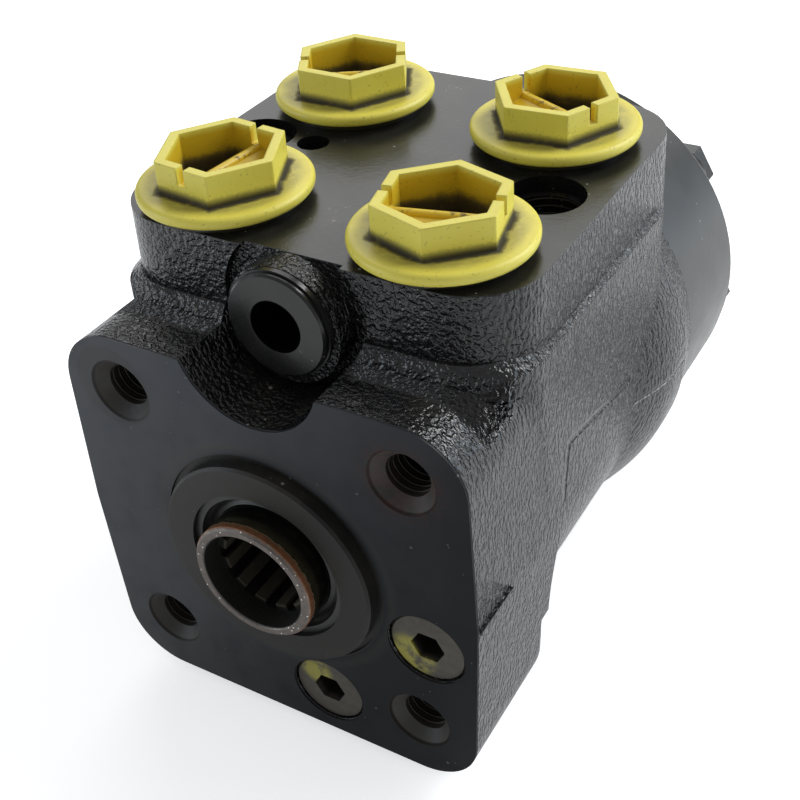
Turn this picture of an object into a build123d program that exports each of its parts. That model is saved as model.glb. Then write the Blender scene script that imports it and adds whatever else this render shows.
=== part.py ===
"""Orbital steering unit, 100 cm3 per turn, built as separate pieces.

Frame: millimetres.  The shaft axis is Y, with the mounting face at y = 0 and depth growing
towards the gear set.  X points right seen from the steering column, and Z points up to the ports.
"""
from build123d import *
from cmath import exp
from math import cos, hypot, pi, radians, sin, tan
import os

os.makedirs("parts", exist_ok=True)

# ---------------------------------------------------------------- driving dimensions
# Fits, used wherever one piece runs in, seats in or is screwed into another.
running_fit = 0.03
seat_fit = 0.05
loose_fit = 0.3

# Cast housing, outside.
flange_top_half = 41.0
flange_parting_half = 42.2
flange_bottom_half = 40.8
flange_top = 40.5
flange_bottom = 42.5
flange_corner_r = 12.0
flange_depth = 31.0
flange_back_r = 4.0
block_half = 42.2
block_front = 15.0
block_back = 95.6
block_corner_r = 14.5
block_draft = 1.3
block_root_r = 2.5
block_foot_slope = 45
block_foot_drop = 4.0
port_face_z = 55.5
body_r = 42.2
corner_web_r = 5.0
collar_front = 70.0
collar_sink = 1.0
collar_slope = 0.45
collar_crest_start = 86.0
collar_crest_end = 92.0
collar_crest_r = 45.8
housing_back = 99.5
gear_case_r = 44.2
flash_height = 0.9
flash_length = 12.0
flash_proud = 0.5

# Mounting face.
mount_square = 58.34
mount_hole_r = 4.25
mount_hole_depth = 18.0
mount_chamfer_r = 6.6
spigot_r = 22.2
spigot_height = 2.5
spigot_relief_width = 1.2
spigot_relief_depth = 0.5
bore_mouth_y = -5.0

# Ports in the top face.
port_x = 22.2
port_front_y = 29.6
port_back_y = 74.2
port_r = 9.4
port_depth = 16.0
port_chamfer_r = 10.9
passage_r = 4.0
gallery_r = 21.5
gallery_width = 5.0
gallery_first_y = 50.0
gallery_pitch = 11.0
side_port_x = 30.0
side_port_y = 52.9
side_port_r = 6.6
side_port_rim_r = 7.3
side_port_rim_depth = 3.6
side_port_depth = 15.0
left_port_x = -32.0
left_port_y = 53.7
pilot_hole_x = -20.0
pilot_hole_y = 54.6
pilot_hole_r = 3.2
pilot_hole_depth = 12.0

# Rotary valve.
bore_r = 19.0
sleeve_wall = 4.8
sleeve_front = 14.3
sleeve_neck_end = 31.0
sleeve_neck_r = 17.5
spool_nose_r = 12.5
spool_nose_front = -7.0
spool_bore_r = 10.2
spool_mouth_r = 10.5
spool_body_front = 14.9
spool_mouth_depth = 4.5
column_spline_tip_r = 8.7
column_spline_end = 15.5
column_spline_teeth = 12
column_spline_land = 2.3
spool_edge = 0.6
spool_mouth_chamfer = 0.3
valve_deflection = 8.0
metering_hole_r = 1.6
metering_rows = (6, 6, 12, 12)
spool_slots = 6
spool_slot_width = 3.0
spool_slot_depth = 1.0

# Seals and bearing ahead of the valve.
dust_seal_r = 16.2
dust_seal_front = -1.5
dust_seal_wall = 1.4
dust_seal_web = 1.8
dust_seal_heel = 2.2
dust_lip_y = 0.8
dust_pocket_end = 3.2
seal_lip_gap = 0.1
web_r = 13.4
shaft_seal_front = 4.2
shaft_seal_back = 8.8
shaft_seal_r = 17.4
shaft_seal_wall = 1.2
shaft_seal_web = 1.4
shaft_seal_heel = 3.2
shaft_lip_width = 1.7
bearing_front = 9.0
race_width = 1.5
race_edge = 0.35
needle_r = 1.0
needle_length = 3.8
needle_count = 16
needle_pitch_r = 16.1
cage_half_width = 0.6
cage_margin = 0.8
needle_pocket_gap = 0.1

# Cross pin, centring springs and ring.
pin_r = 4.0
pin_y = 40.0
spring_y = 23.7
spring_width = 7.0
pin_edge = 0.5
leaf_count = 6
leaf_thickness = 0.45
leaf_bow = 0.25
ring_wall = 1.25
ring_width = 9.0

# Gear set.
plate_width = 5.0
gear_width = 13.0
gear_side_gap = 0.05
ring_teeth = 7
ring_tooth_r = 6.0
ring_tooth_edge = 11.2
gear_offset = 3.5
gear_tip_gap = 0.06
flank_points = 24
rotor_spline_root_r = 10.2
rotor_spline_tip_r = 8.6
rotor_spline_teeth = 12
rotor_spline_groove = 2.5
cardan_fork_r = 8.4
cardan_fork_front = 7.8
cardan_fork_back = 9.8
cardan_fork_edge = 0.6
cardan_shank_r = 6.5
cardan_head_length = 7.6
cardan_end_gap = 0.8
cardan_root_gap = 0.9
cardan_tooth_width = 1.8
cardan_head_root_r = 8.0
cardan_crown = 0.3
spacer_width = 3.2
plate_bore_r = 11.0
plate_port_r = 2.5
plate_port_inset = 5.5

# End cover and its screws.
cover_width = 12.0
cover_rim_step = 0.4
cover_rim_width = 4.8
cover_edge_r = 1.2
screw_edge = 8.4
screw_r = 4.0
screw_grip = 15.0
screw_head_flats = 13.0
screw_head_height = 5.3
screw_head_edge = 0.65
screw_tip_gap = 1.0
rolled_pin_r = 2.0
rolled_pin_wall = 0.8
rolled_pin_slit = 1.0
washer_r = 7.4
washer_width = 1.2
o_ring_edge = 2.3
o_ring_r = 0.75
screw_place = 90

# Pressure relief valve, in the recess above the flange.
relief_z = 45.0
scoop_r = 14.5
relief_boss_r = 11.4
relief_boss_drop = 1.0
relief_boss_front = 12.4
relief_plug_r = 10.3
relief_plug_front = 10.2
relief_plug_edge = 0.4
relief_thread_r = 8.0
relief_thread_length = 12.0
relief_bore_r = 5.5
relief_seat_y = 47.0
relief_seat_length = 6.0
relief_port_r = 2.0
relief_lift = 0.8
relief_head_length = 3.0
relief_spring_r = 3.6
relief_wire_r = 0.7
relief_coils = 4
relief_socket_flats = 8.0
relief_socket_r = 5.0
relief_socket_depth = 6.0
relief_socket_cone = 120

# Shock valves, behind the two plugs in the mounting face.
shock_near = 8.6
shock_far = 31.7
shock_plug_r = 7.85
shock_plug_front = 0.7
shock_plug_length = 10.0
shock_socket_flats = 6.0
shock_socket_depth = 4.5
shock_seal_width = 1.2
shock_bore_r = 4.6
shock_seat_y = 44.0
shock_ball_r = 3.5
shock_port_r = 2.2
shock_lift = 0.8
shock_spring_r = 2.7
shock_wire_r = 0.55
shock_coils = 6
shock_plug_edge = 0.55

# Suction valves, at the bottom of two of the screw holes.
suction_ball_r = 3.2
suction_bore_r = 3.5
suction_port_r = 2.0
suction_pin_r = 1.8
suction_seat_y = 64.0
suction_lift = 0.8

# Check valve in the floor of the pressure port.
check_offset = 3.4
check_ball_r = 4.25
check_bore_r = 4.6
check_seat_z = 26.5
check_bushing_length = 4.0
check_port_r = 2.6
check_lift = 0.8

# Transport caps in the four main ports.
cap_shank_r = 9.2
cap_shank_wall = 1.4
cap_shank_depth = 11.0
cap_collar_r = 13.6
cap_collar_height = 1.7
cap_disc_r = 16.2
cap_disc_width = 2.2
cap_disc_edge_r = 0.9
cap_hex_r = 12.2
cap_hex_height = 6.0
cap_hex_wall = 1.8
cap_hex_edge_r = 0.4
cap_notch_width = 1.8
cap_notch_depth = 3.4
cap_rib_width = 1.5
cap_rib_drop = 3.6
cap_ramp_drop = 1.5
cap_floor_width = 1.2

# Angles.
hex_points_up = 30
countersink_angle = 90

# ---------------------------------------------------------------- sizes that follow
sleeve_r = bore_r - running_fit
sleeve_bore_r = bore_r - sleeve_wall
spool_r = sleeve_bore_r - running_fit
sleeve_back = housing_back - 3 * seat_fit
spool_back = sleeve_back - seat_fit
leaf_pack = leaf_count * leaf_thickness + 2 * leaf_bow
screw_pitch_r = gear_case_r - screw_edge
o_ring_pitch_r = gear_case_r - o_ring_edge
ring_tooth_pitch_r = gear_case_r - ring_tooth_edge
plate_port_pitch_r = ring_tooth_pitch_r - plate_port_inset
plate_back = housing_back + plate_width
gear_back = plate_back + gear_width
cover_back = gear_back + cover_width
washer_back = cover_back + washer_width
head_mid_y = plate_back + cardan_end_gap + cardan_head_length / 2
cardan_reach = hypot(head_mid_y - pin_y, gear_offset)
ring_root_r = ring_tooth_pitch_r + gear_offset - ring_tooth_r + gear_offset + gear_tip_gap
port_floor_z = port_face_z - port_depth
needle_y = bearing_front + race_width + seat_fit + needle_r
inner_race_front = needle_y + needle_r + seat_fit
lost_motion = tan(radians(valve_deflection))
rotor_spline_height = rotor_spline_root_r - rotor_spline_tip_r
rotor_x = gear_offset * cos(radians(ring_teeth * screw_place))
rotor_z = gear_offset * sin(radians(ring_teeth * screw_place))


def station(y):
    """Plane across the shaft axis at depth y, facing the steering column."""
    return Plane.XZ.offset(-y)


def rotor_station(y):
    """Plane across the rotor's own axis at depth y, where the rotor stands at rest."""
    return Plane(origin=(rotor_x, y, rotor_z), x_dir=(1, 0, 0), z_dir=(0, -1, 0))


def spoke(y, angle):
    """Plane through the shaft axis at depth y whose normal points outwards at that angle."""
    outwards = (cos(radians(angle)), 0, sin(radians(angle)))
    return Plane(origin=(0, y, 0), x_dir=(0, 1, 0), z_dir=outwards)


def rear_station(y):
    """Plane across the shaft axis at depth y, facing the end cover."""
    return Plane(origin=(0, y, 0), x_dir=(-1, 0, 0), z_dir=(0, 1, 0))


def pitch_point(angle):
    """Centre of the cover screw at that angle, in a plane that faces the end cover."""
    return (-screw_pitch_r * cos(radians(angle)), screw_pitch_r * sin(radians(angle)))


# ---------------------------------------------------------------- housing
# The mould parts at shaft height, so the sides lean in above and below it.
port_places = [
    (x * port_x, y, port_face_z) for y in (port_front_y, port_back_y) for x in (-1, 1)
]
gallery_ys = [gallery_first_y + turn * gallery_pitch for turn in range(len(port_places))]
screw_step = 360 / ring_teeth
suction_angles = [screw_place + screw_step, screw_place - screw_step]
shock_places = [(shock_far, -shock_near), (shock_near, -shock_far)]
check_x = -port_x - check_offset

with BuildSketch(station(0)) as flange_face:
    with BuildLine():
        Polyline(
            (flange_top_half, flange_top),
            (flange_parting_half, 0),
            (flange_bottom_half, -flange_bottom),
            (-flange_bottom_half, -flange_bottom),
            (-flange_parting_half, 0),
            (-flange_top_half, flange_top),
            close=True,
        )
    make_face()
    flange_corners = [v for v in flange_face.vertices() if abs(v.Y) > flange_top / 2]
    fillet(flange_corners, flange_corner_r)

# the round body flares into the flange's back, inside the flange's outline
with BuildPart() as corner_webs:
    with BuildSketch(Plane.YZ):
        with BuildLine():
            web_start = (flange_depth, body_r + corner_web_r)
            web_end = (flange_depth + corner_web_r, body_r)
            RadiusArc(web_start, web_end, -corner_web_r)
            Polyline(
                web_end,
                (flange_depth + corner_web_r, body_r - corner_web_r),
                (flange_depth - corner_web_r, body_r - corner_web_r),
                (flange_depth - corner_web_r, body_r + corner_web_r),
                web_start,
            )
        make_face()
    revolve(axis=Axis.Y)
    extrude(flange_face.sketch, amount=-(flange_depth + corner_web_r), mode=Mode.INTERSECT)

with BuildPart() as housing:
    # deep flange block
    extrude(flange_face.sketch, amount=-flange_depth)
    back_edges = housing.edges().filter_by_position(Axis.Y, flange_depth, flange_depth)
    fillet(back_edges.filter_by_position(Axis.Z, -flange_bottom, -1), flange_back_r)

    # flash left along the mould's parting line
    with BuildSketch(station(flash_height)):
        Rectangle(2 * (flange_parting_half + flash_proud), flash_height)
    extrude(amount=-flash_length)

    # round body behind it and the collar that the gear set is screwed to
    with BuildSketch(station(flange_depth - 2 * flange_back_r)):
        Circle(body_r)
    extrude(amount=-(collar_crest_end - flange_depth + 2 * flange_back_r))
    add(corner_webs.part)
    with BuildSketch(Plane.YZ):
        with BuildLine():
            Line((collar_front, 0), (collar_front, body_r - collar_sink))
            Spline(
                (collar_front, body_r - collar_sink),
                (collar_crest_start, collar_crest_r),
                (collar_crest_end, collar_crest_r),
                tangents=((1, collar_slope), (1, 0)),
            )
            Line((collar_crest_end, collar_crest_r), (housing_back, gear_case_r))
            Line((housing_back, gear_case_r), (housing_back, 0))
            Line((housing_back, 0), (collar_front, 0))
        make_face()
    revolve(axis=Axis.Y)

    # port block, drafted upwards from the parting line
    with BuildSketch(Plane.XY):
        with Locations((0, (block_front + block_back) / 2)):
            RectangleRounded(2 * block_half, block_back - block_front, block_corner_r)
    extrude(amount=port_face_z, taper=block_draft)
    # sloping foot where its front wall meets the flange
    with BuildSketch(Plane.XY.offset(flange_top)) as block_foot:
        with Locations((0, (block_front + block_back) / 2 - block_root_r)):
            RectangleRounded(2 * block_half, block_back - block_front, block_corner_r)
    extrude(amount=block_root_r, taper=block_foot_slope)
    extrude(block_foot.sketch, amount=-block_foot_drop)

    # recess over the flange that clears the relief valve, and the boss that carries it
    with BuildSketch(station(0)):
        with Locations((0, relief_z)):
            Circle(scoop_r)
    extrude(amount=-(block_front + block_root_r), mode=Mode.SUBTRACT)
    with BuildSketch(station(relief_boss_front)):
        with Locations((0, relief_z - relief_boss_drop)):
            Circle(relief_boss_r)
    extrude(amount=-(block_front - relief_boss_front + 3 * block_root_r))
    with BuildSketch(Plane.XY.offset(port_face_z)):
        Rectangle(2 * block_half, 2 * block_half)
    extrude(amount=relief_boss_r, mode=Mode.SUBTRACT)

    # spigot with its turned relief groove, and the stepped bore for seals, bearing and valve
    with BuildSketch(Plane.YZ):
        Polygon(
            (-spigot_height, 0),
            (-spigot_height, spigot_r - spigot_relief_depth),
            (-spigot_height + spigot_relief_depth, spigot_r),
            (flange_depth, spigot_r),
            (flange_depth, 0),
            align=None,
        )
    revolve(axis=Axis.Y)
    with BuildSketch(station(0)):
        Circle(spigot_r + spigot_relief_width)
        Circle(spigot_r, mode=Mode.SUBTRACT)
    extrude(amount=-spigot_relief_depth, mode=Mode.SUBTRACT)
    with BuildSketch(Plane.YZ):
        Polygon(
            (bore_mouth_y, 0),
            (bore_mouth_y, dust_seal_r),
            (dust_pocket_end, dust_seal_r),
            (dust_pocket_end, web_r),
            (shaft_seal_front, web_r),
            (shaft_seal_front, shaft_seal_r),
            (bearing_front, shaft_seal_r),
            (bearing_front, bore_r),
            (plate_back, bore_r),
            (plate_back, 0),
            align=None,
        )
    revolve(axis=Axis.Y, mode=Mode.SUBTRACT)

    # oil galleries around the valve, each joined to its own port
    for gallery_y, (port_place_x, port_place_y, top_z) in zip(gallery_ys, port_places):
        with BuildSketch(station(gallery_y - gallery_width / 2)):
            Circle(gallery_r)
        extrude(amount=-gallery_width, mode=Mode.SUBTRACT)
        port_floor = Vector(port_place_x, port_place_y, port_floor_z + passage_r)
        gallery = Vector(0, gallery_y, bore_r)
        with BuildSketch(Plane(origin=port_floor, z_dir=gallery - port_floor)):
            Circle(passage_r)
        extrude(amount=(gallery - port_floor).length, mode=Mode.SUBTRACT)

    # threaded holes in the mounting face and in the back
    with Locations(station(0)):
        with GridLocations(mount_square, mount_square, 2, 2):
            CounterSinkHole(mount_hole_r, mount_chamfer_r, mount_hole_depth, countersink_angle)
    with Locations(rear_station(housing_back)):
        with PolarLocations(screw_pitch_r, ring_teeth, screw_place):
            Hole(screw_r + running_fit, screw_grip + screw_tip_gap)

    # ports and the three small holes in the top face
    with Locations(*port_places):
        CounterSinkHole(port_r, port_chamfer_r, port_depth, countersink_angle)
    with Locations((side_port_x, side_port_y, port_face_z), (left_port_x, left_port_y, port_face_z)):
        CounterBoreHole(side_port_r, side_port_rim_r, side_port_rim_depth, side_port_depth)
    with Locations((pilot_hole_x, pilot_hole_y, port_face_z)):
        Hole(pilot_hole_r, pilot_hole_depth)

    # relief valve bore
    with BuildSketch(station(relief_boss_front)):
        with Locations((0, relief_z)):
            Circle(relief_thread_r + seat_fit)
    extrude(amount=-relief_thread_length, mode=Mode.SUBTRACT)
    with BuildSketch(station(relief_boss_front)):
        with Locations((0, relief_z)):
            Circle(relief_bore_r + seat_fit)
    extrude(amount=-(relief_seat_y + relief_seat_length - relief_boss_front), mode=Mode.SUBTRACT)

    # shock valve bores
    with Locations(station(0)):
        with Locations(*shock_places):
            CounterBoreHole(
                shock_bore_r, shock_plug_r + seat_fit,
                shock_plug_front + shock_plug_length + shock_seal_width, shock_seat_y,
            )
            Hole(shock_port_r, shock_seat_y + shock_bore_r)

    # suction valve bores behind two of the screws
    with Locations(rear_station(housing_back)):
        with Locations(*[pitch_point(angle) for angle in suction_angles]):
            Hole(suction_bore_r, housing_back - suction_seat_y)
            Hole(suction_port_r, housing_back - suction_seat_y + suction_bore_r)

    # check valve bore in the floor of the pressure port
    with Locations((check_x, port_back_y, port_floor_z)):
        Hole(check_bore_r, port_floor_z - check_seat_z)
        Hole(check_port_r, port_floor_z - check_seat_z + check_bore_r)

    # groove for the first O-ring
    with BuildSketch(rear_station(housing_back)):
        Circle(o_ring_pitch_r + o_ring_r + seat_fit)
        Circle(o_ring_pitch_r - o_ring_r - seat_fit, mode=Mode.SUBTRACT)
    extrude(amount=-(2 * o_ring_r + seat_fit), mode=Mode.SUBTRACT)

housing.part.label = "housing"
export_step(housing.part, "parts/housing.step")

# ---------------------------------------------------------------- seals and bearing
with BuildPart() as dust_seal:
    with BuildSketch(Plane.YZ):
        Polygon(
            (dust_seal_front, dust_seal_r - seat_fit),
            (dust_pocket_end, dust_seal_r - seat_fit),
            (dust_pocket_end, dust_seal_r - dust_seal_wall),
            (2 * dust_lip_y, dust_seal_r - dust_seal_web),
            (dust_lip_y, spool_nose_r + seal_lip_gap),
            (0, spool_nose_r + seal_lip_gap),
            (dust_lip_y, dust_seal_r - dust_seal_heel),
            (dust_seal_front, dust_seal_r - dust_seal_wall),
            align=None,
        )
    revolve(axis=Axis.Y)
dust_seal.part.label = "dust_seal"
export_step(dust_seal.part, "parts/dust_seal.step")

with BuildPart() as shaft_seal:
    seal_mid = (shaft_seal_front + shaft_seal_back) / 2
    with BuildSketch(Plane.YZ):
        Polygon(
            (shaft_seal_front, shaft_seal_r - seat_fit),
            (shaft_seal_back, shaft_seal_r - seat_fit),
            (shaft_seal_back, shaft_seal_r - shaft_seal_wall),
            (seal_mid, shaft_seal_r - shaft_seal_web),
            (seal_mid + shaft_lip_width, spool_nose_r + seal_lip_gap),
            (seal_mid, spool_nose_r + seal_lip_gap),
            (shaft_seal_front, shaft_seal_r - shaft_seal_heel),
            align=None,
        )
    revolve(axis=Axis.Y)
shaft_seal.part.label = "shaft_seal"
export_step(shaft_seal.part, "parts/shaft_seal.step")

with BuildPart() as bearing_outer_race:
    with BuildSketch(station(bearing_front)):
        Circle(bore_r - running_fit)
        Circle(spool_nose_r + loose_fit, mode=Mode.SUBTRACT)
    extrude(amount=-race_width)
    chamfer(bearing_outer_race.edges().sort_by(Axis.Y)[:2], race_edge)
bearing_outer_race.part.label = "bearing_outer_race"
export_step(bearing_outer_race.part, "parts/bearing_outer_race.step")

with BuildPart() as bearing_cage:
    pocket_length = needle_length + 2 * needle_pocket_gap
    pocket_width = 2 * (needle_r + needle_pocket_gap)
    with BuildSketch(station(needle_y - cage_half_width)):
        Circle(needle_pitch_r + needle_length / 2 + cage_margin)
        Circle(needle_pitch_r - needle_length / 2 - cage_margin, mode=Mode.SUBTRACT)
        with PolarLocations(needle_pitch_r, needle_count):
            Rectangle(pocket_length, pocket_width, mode=Mode.SUBTRACT)
    extrude(amount=-2 * cage_half_width)
bearing_cage.part.label = "bearing_cage"
export_step(bearing_cage.part, "parts/bearing_cage.step")

with BuildPart() as bearing_needles:
    for turn in range(needle_count):
        needle_plane = spoke(needle_y, turn * 360 / needle_count)
        with BuildSketch(needle_plane.offset(needle_pitch_r - needle_length / 2)):
            Circle(needle_r)
        extrude(amount=needle_length)
bearing_needles.part.label = "bearing_needles"
export_step(bearing_needles.part, "parts/bearing_needles.step")

with BuildPart() as bearing_inner_race:
    with BuildSketch(station(inner_race_front)):
        Circle(bore_r - loose_fit)
        Circle(spool_nose_r + loose_fit, mode=Mode.SUBTRACT)
    extrude(amount=-(sleeve_front - seat_fit - inner_race_front))
bearing_inner_race.part.label = "bearing_inner_race"
export_step(bearing_inner_race.part, "parts/bearing_inner_race.step")

# ---------------------------------------------------------------- rotary valve
with BuildPart() as sleeve:
    with BuildSketch(Plane.YZ):
        Polygon(
            (sleeve_front, sleeve_bore_r),
            (sleeve_front, sleeve_neck_r),
            (sleeve_neck_end, sleeve_neck_r),
            (sleeve_neck_end, sleeve_r),
            (sleeve_back, sleeve_r),
            (sleeve_back, sleeve_bore_r),
            align=None,
        )
    revolve(axis=Axis.Y)
    # slot for the centring springs and holes for the cross pin
    with BuildSketch(station(spring_y - spring_width / 2 - seat_fit)):
        Rectangle(2 * bore_r, leaf_pack + 2 * seat_fit)
    extrude(amount=-(spring_width + 2 * seat_fit), mode=Mode.SUBTRACT)
    with BuildSketch(Plane.XY.offset(-bore_r)):
        with Locations((0, pin_y)):
            Circle(pin_r + seat_fit / 2)
    extrude(amount=2 * bore_r, mode=Mode.SUBTRACT)
    # rows of metering and commutator holes
    for row_y, holes in zip(gallery_ys, metering_rows):
        for turn in range(holes):
            with BuildSketch(spoke(row_y, turn * 360 / holes + 180 / holes)):
                Circle(metering_hole_r)
            extrude(amount=bore_r, mode=Mode.SUBTRACT)
sleeve.part.label = "sleeve"
export_step(sleeve.part, "parts/sleeve.step")

with BuildPart() as spool:
    with BuildSketch(Plane.YZ):
        Polygon(
            (spool_nose_front, spool_mouth_r + spool_mouth_chamfer),
            (spool_nose_front, spool_nose_r - spool_edge),
            (spool_nose_front + spool_edge, spool_nose_r),
            (spool_body_front, spool_nose_r),
            (spool_body_front, spool_r),
            (spool_back, spool_r),
            (spool_back, spool_bore_r),
            (spool_nose_front + spool_mouth_depth, spool_bore_r),
            (spool_nose_front + spool_mouth_depth, spool_mouth_r),
            (spool_nose_front + spool_mouth_chamfer, spool_mouth_r),
            align=None,
        )
    revolve(axis=Axis.Y)
    # internal splines for the steering column
    with BuildSketch(station(spool_nose_front + spool_mouth_depth)):
        Circle(spool_bore_r + seat_fit)
        Circle(column_spline_tip_r, mode=Mode.SUBTRACT)
        with PolarLocations((spool_bore_r + column_spline_tip_r) / 2, column_spline_teeth):
            Rectangle(2 * (spool_bore_r - column_spline_tip_r), column_spline_land, mode=Mode.SUBTRACT)
    extrude(amount=-(column_spline_end - spool_nose_front - spool_mouth_depth))
    # window for the centring springs, long enough for the lost motion
    spring_window = leaf_pack + 2 * spool_r * lost_motion + loose_fit
    with BuildSketch(station(spring_y - spring_width / 2 - loose_fit)):
        Rectangle(2 * bore_r, spring_window)
    extrude(amount=-(spring_width + 2 * loose_fit), mode=Mode.SUBTRACT)
    # slots for the cross pin, long enough for the lost motion
    with BuildSketch(Plane.XY.offset(-bore_r)):
        with Locations((0, pin_y)):
            SlotOverall(2 * (pin_r + spool_r * lost_motion + loose_fit), 2 * (pin_r + loose_fit))
    extrude(amount=2 * bore_r, mode=Mode.SUBTRACT)
    # milled control slots between the galleries
    with BuildSketch(station(gallery_first_y)):
        with PolarLocations(spool_r, spool_slots, 180 / spool_slots):
            Rectangle(2 * spool_slot_depth, spool_slot_width)
    extrude(amount=-(gallery_ys[-1] - gallery_first_y), mode=Mode.SUBTRACT)
spool.part.label = "spool"
export_step(spool.part, "parts/spool.step")

with BuildPart() as centring_ring:
    with BuildSketch(station(spring_y - ring_width / 2)):
        Circle(sleeve_neck_r + seat_fit + ring_wall)
        Circle(sleeve_neck_r + seat_fit, mode=Mode.SUBTRACT)
    extrude(amount=-ring_width)
centring_ring.part.label = "centring_ring"
export_step(centring_ring.part, "parts/centring_ring.step")

with BuildPart() as cross_pin:
    pin_half = sleeve_r - loose_fit
    with BuildSketch(Plane.XY.offset(-pin_half)):
        with Locations((0, pin_y)):
            Circle(pin_r)
    extrude(amount=2 * pin_half)
    chamfer(cross_pin.edges().filter_by(GeomType.CIRCLE), pin_edge)
cross_pin.part.label = "cross_pin"
export_step(cross_pin.part, "parts/cross_pin.step")

with BuildPart() as centring_springs:
    leaf_half = sleeve_neck_r - loose_fit
    for side in (-1, 1):
        # a flat leaf in the middle
        with BuildSketch(station(spring_y - spring_width / 2)):
            with Locations((0, side * leaf_thickness / 2)):
                Rectangle(2 * leaf_half, leaf_thickness - seat_fit)
        extrude(amount=-spring_width)
        # and two bowed ones outside it
        for layer in range(1, leaf_count // 2):
            inner_end = side * layer * leaf_thickness
            outer_end = inner_end + side * (leaf_thickness - seat_fit)
            bow = side * leaf_bow
            with BuildSketch(station(spring_y - spring_width / 2)):
                with BuildLine():
                    ThreePointArc((-leaf_half, inner_end), (0, inner_end + bow), (leaf_half, inner_end))
                    Line((leaf_half, inner_end), (leaf_half, outer_end))
                    ThreePointArc((leaf_half, outer_end), (0, outer_end + bow), (-leaf_half, outer_end))
                    Line((-leaf_half, outer_end), (-leaf_half, inner_end))
                make_face()
            extrude(amount=-spring_width)
centring_springs.part.label = "centring_springs"
export_step(centring_springs.part, "parts/centring_springs.step")

# ---------------------------------------------------------------- gear set
# The rotor rolls inside the ring: its centre circles the shaft axis while it turns slowly.
with BuildPart() as distributor_plate:
    with BuildSketch(station(housing_back)):
        Circle(gear_case_r)
        Circle(plate_bore_r, mode=Mode.SUBTRACT)
        with PolarLocations(screw_pitch_r, ring_teeth, screw_place):
            Circle(screw_r + loose_fit, mode=Mode.SUBTRACT)
        with PolarLocations(plate_port_pitch_r, ring_teeth, screw_place + screw_step / 2):
            Circle(plate_port_r, mode=Mode.SUBTRACT)
    extrude(amount=-plate_width)
    with BuildSketch(rear_station(plate_back)):
        Circle(o_ring_pitch_r + o_ring_r + seat_fit)
        Circle(o_ring_pitch_r - o_ring_r - seat_fit, mode=Mode.SUBTRACT)
    extrude(amount=-(2 * o_ring_r + seat_fit), mode=Mode.SUBTRACT)
distributor_plate.part.label = "distributor_plate"
export_step(distributor_plate.part, "parts/distributor_plate.step")

with BuildPart() as gear_ring:
    with BuildSketch(station(plate_back)):
        Circle(gear_case_r)
        Circle(ring_root_r, mode=Mode.SUBTRACT)
        with PolarLocations(ring_tooth_pitch_r, ring_teeth, screw_place):
            Circle(ring_tooth_r)
        with PolarLocations(screw_pitch_r, ring_teeth, screw_place):
            Circle(screw_r + loose_fit, mode=Mode.SUBTRACT)
    extrude(amount=-gear_width)
gear_ring.part.label = "gear_ring"
export_step(gear_ring.part, "parts/gear_ring.step")


def rotor_flank(angle):
    """Point on the rotor edge: a ring tooth's path seen from the rotor, moved in by its radius."""
    spoke_point = ring_tooth_pitch_r * exp(1j * angle)
    swing = gear_offset * exp(1j * ring_teeth * angle)
    path = spoke_point - swing
    travel = spoke_point - ring_teeth * swing
    inwards = -travel / abs(travel)
    point = path + (ring_tooth_r + gear_tip_gap) * inwards
    return (point.real, point.imag)


# The points start in the valley between two lobes, where the edge bends least.
rotor_lobes = ring_teeth - 1
flank_steps = flank_points * rotor_lobes
valley = pi / rotor_lobes
rotor_points = [rotor_flank(valley + 2 * pi * step / flank_steps) for step in range(flank_steps)]
with BuildPart() as gear_rotor:
    with BuildSketch(rotor_station(plate_back + gear_side_gap)):
        with BuildLine():
            Spline(*rotor_points, periodic=True)
        make_face()
        Circle(rotor_spline_tip_r, mode=Mode.SUBTRACT)
        with PolarLocations(rotor_spline_tip_r, rotor_spline_teeth):
            Rectangle(2 * rotor_spline_height, rotor_spline_groove, mode=Mode.SUBTRACT)
    extrude(amount=-(gear_width - 2 * gear_side_gap))
gear_rotor.part.label = "gear_rotor"
export_step(gear_rotor.part, "parts/gear_rotor.step")

# The cardan shaft leans from the cross pin to the rotor's axis.
pivot = Vector(0, pin_y, 0)
rotor_middle = Vector(rotor_x, head_mid_y, rotor_z)
cardan_plane = Plane(origin=pivot, x_dir=(1, 0, 0), z_dir=rotor_middle - pivot)
head_start = cardan_reach - cardan_head_length / 2
head_end = cardan_reach + cardan_head_length / 2
fork_length = pin_r + cardan_root_gap
head_tip_r = rotor_spline_root_r - cardan_crown

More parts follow.
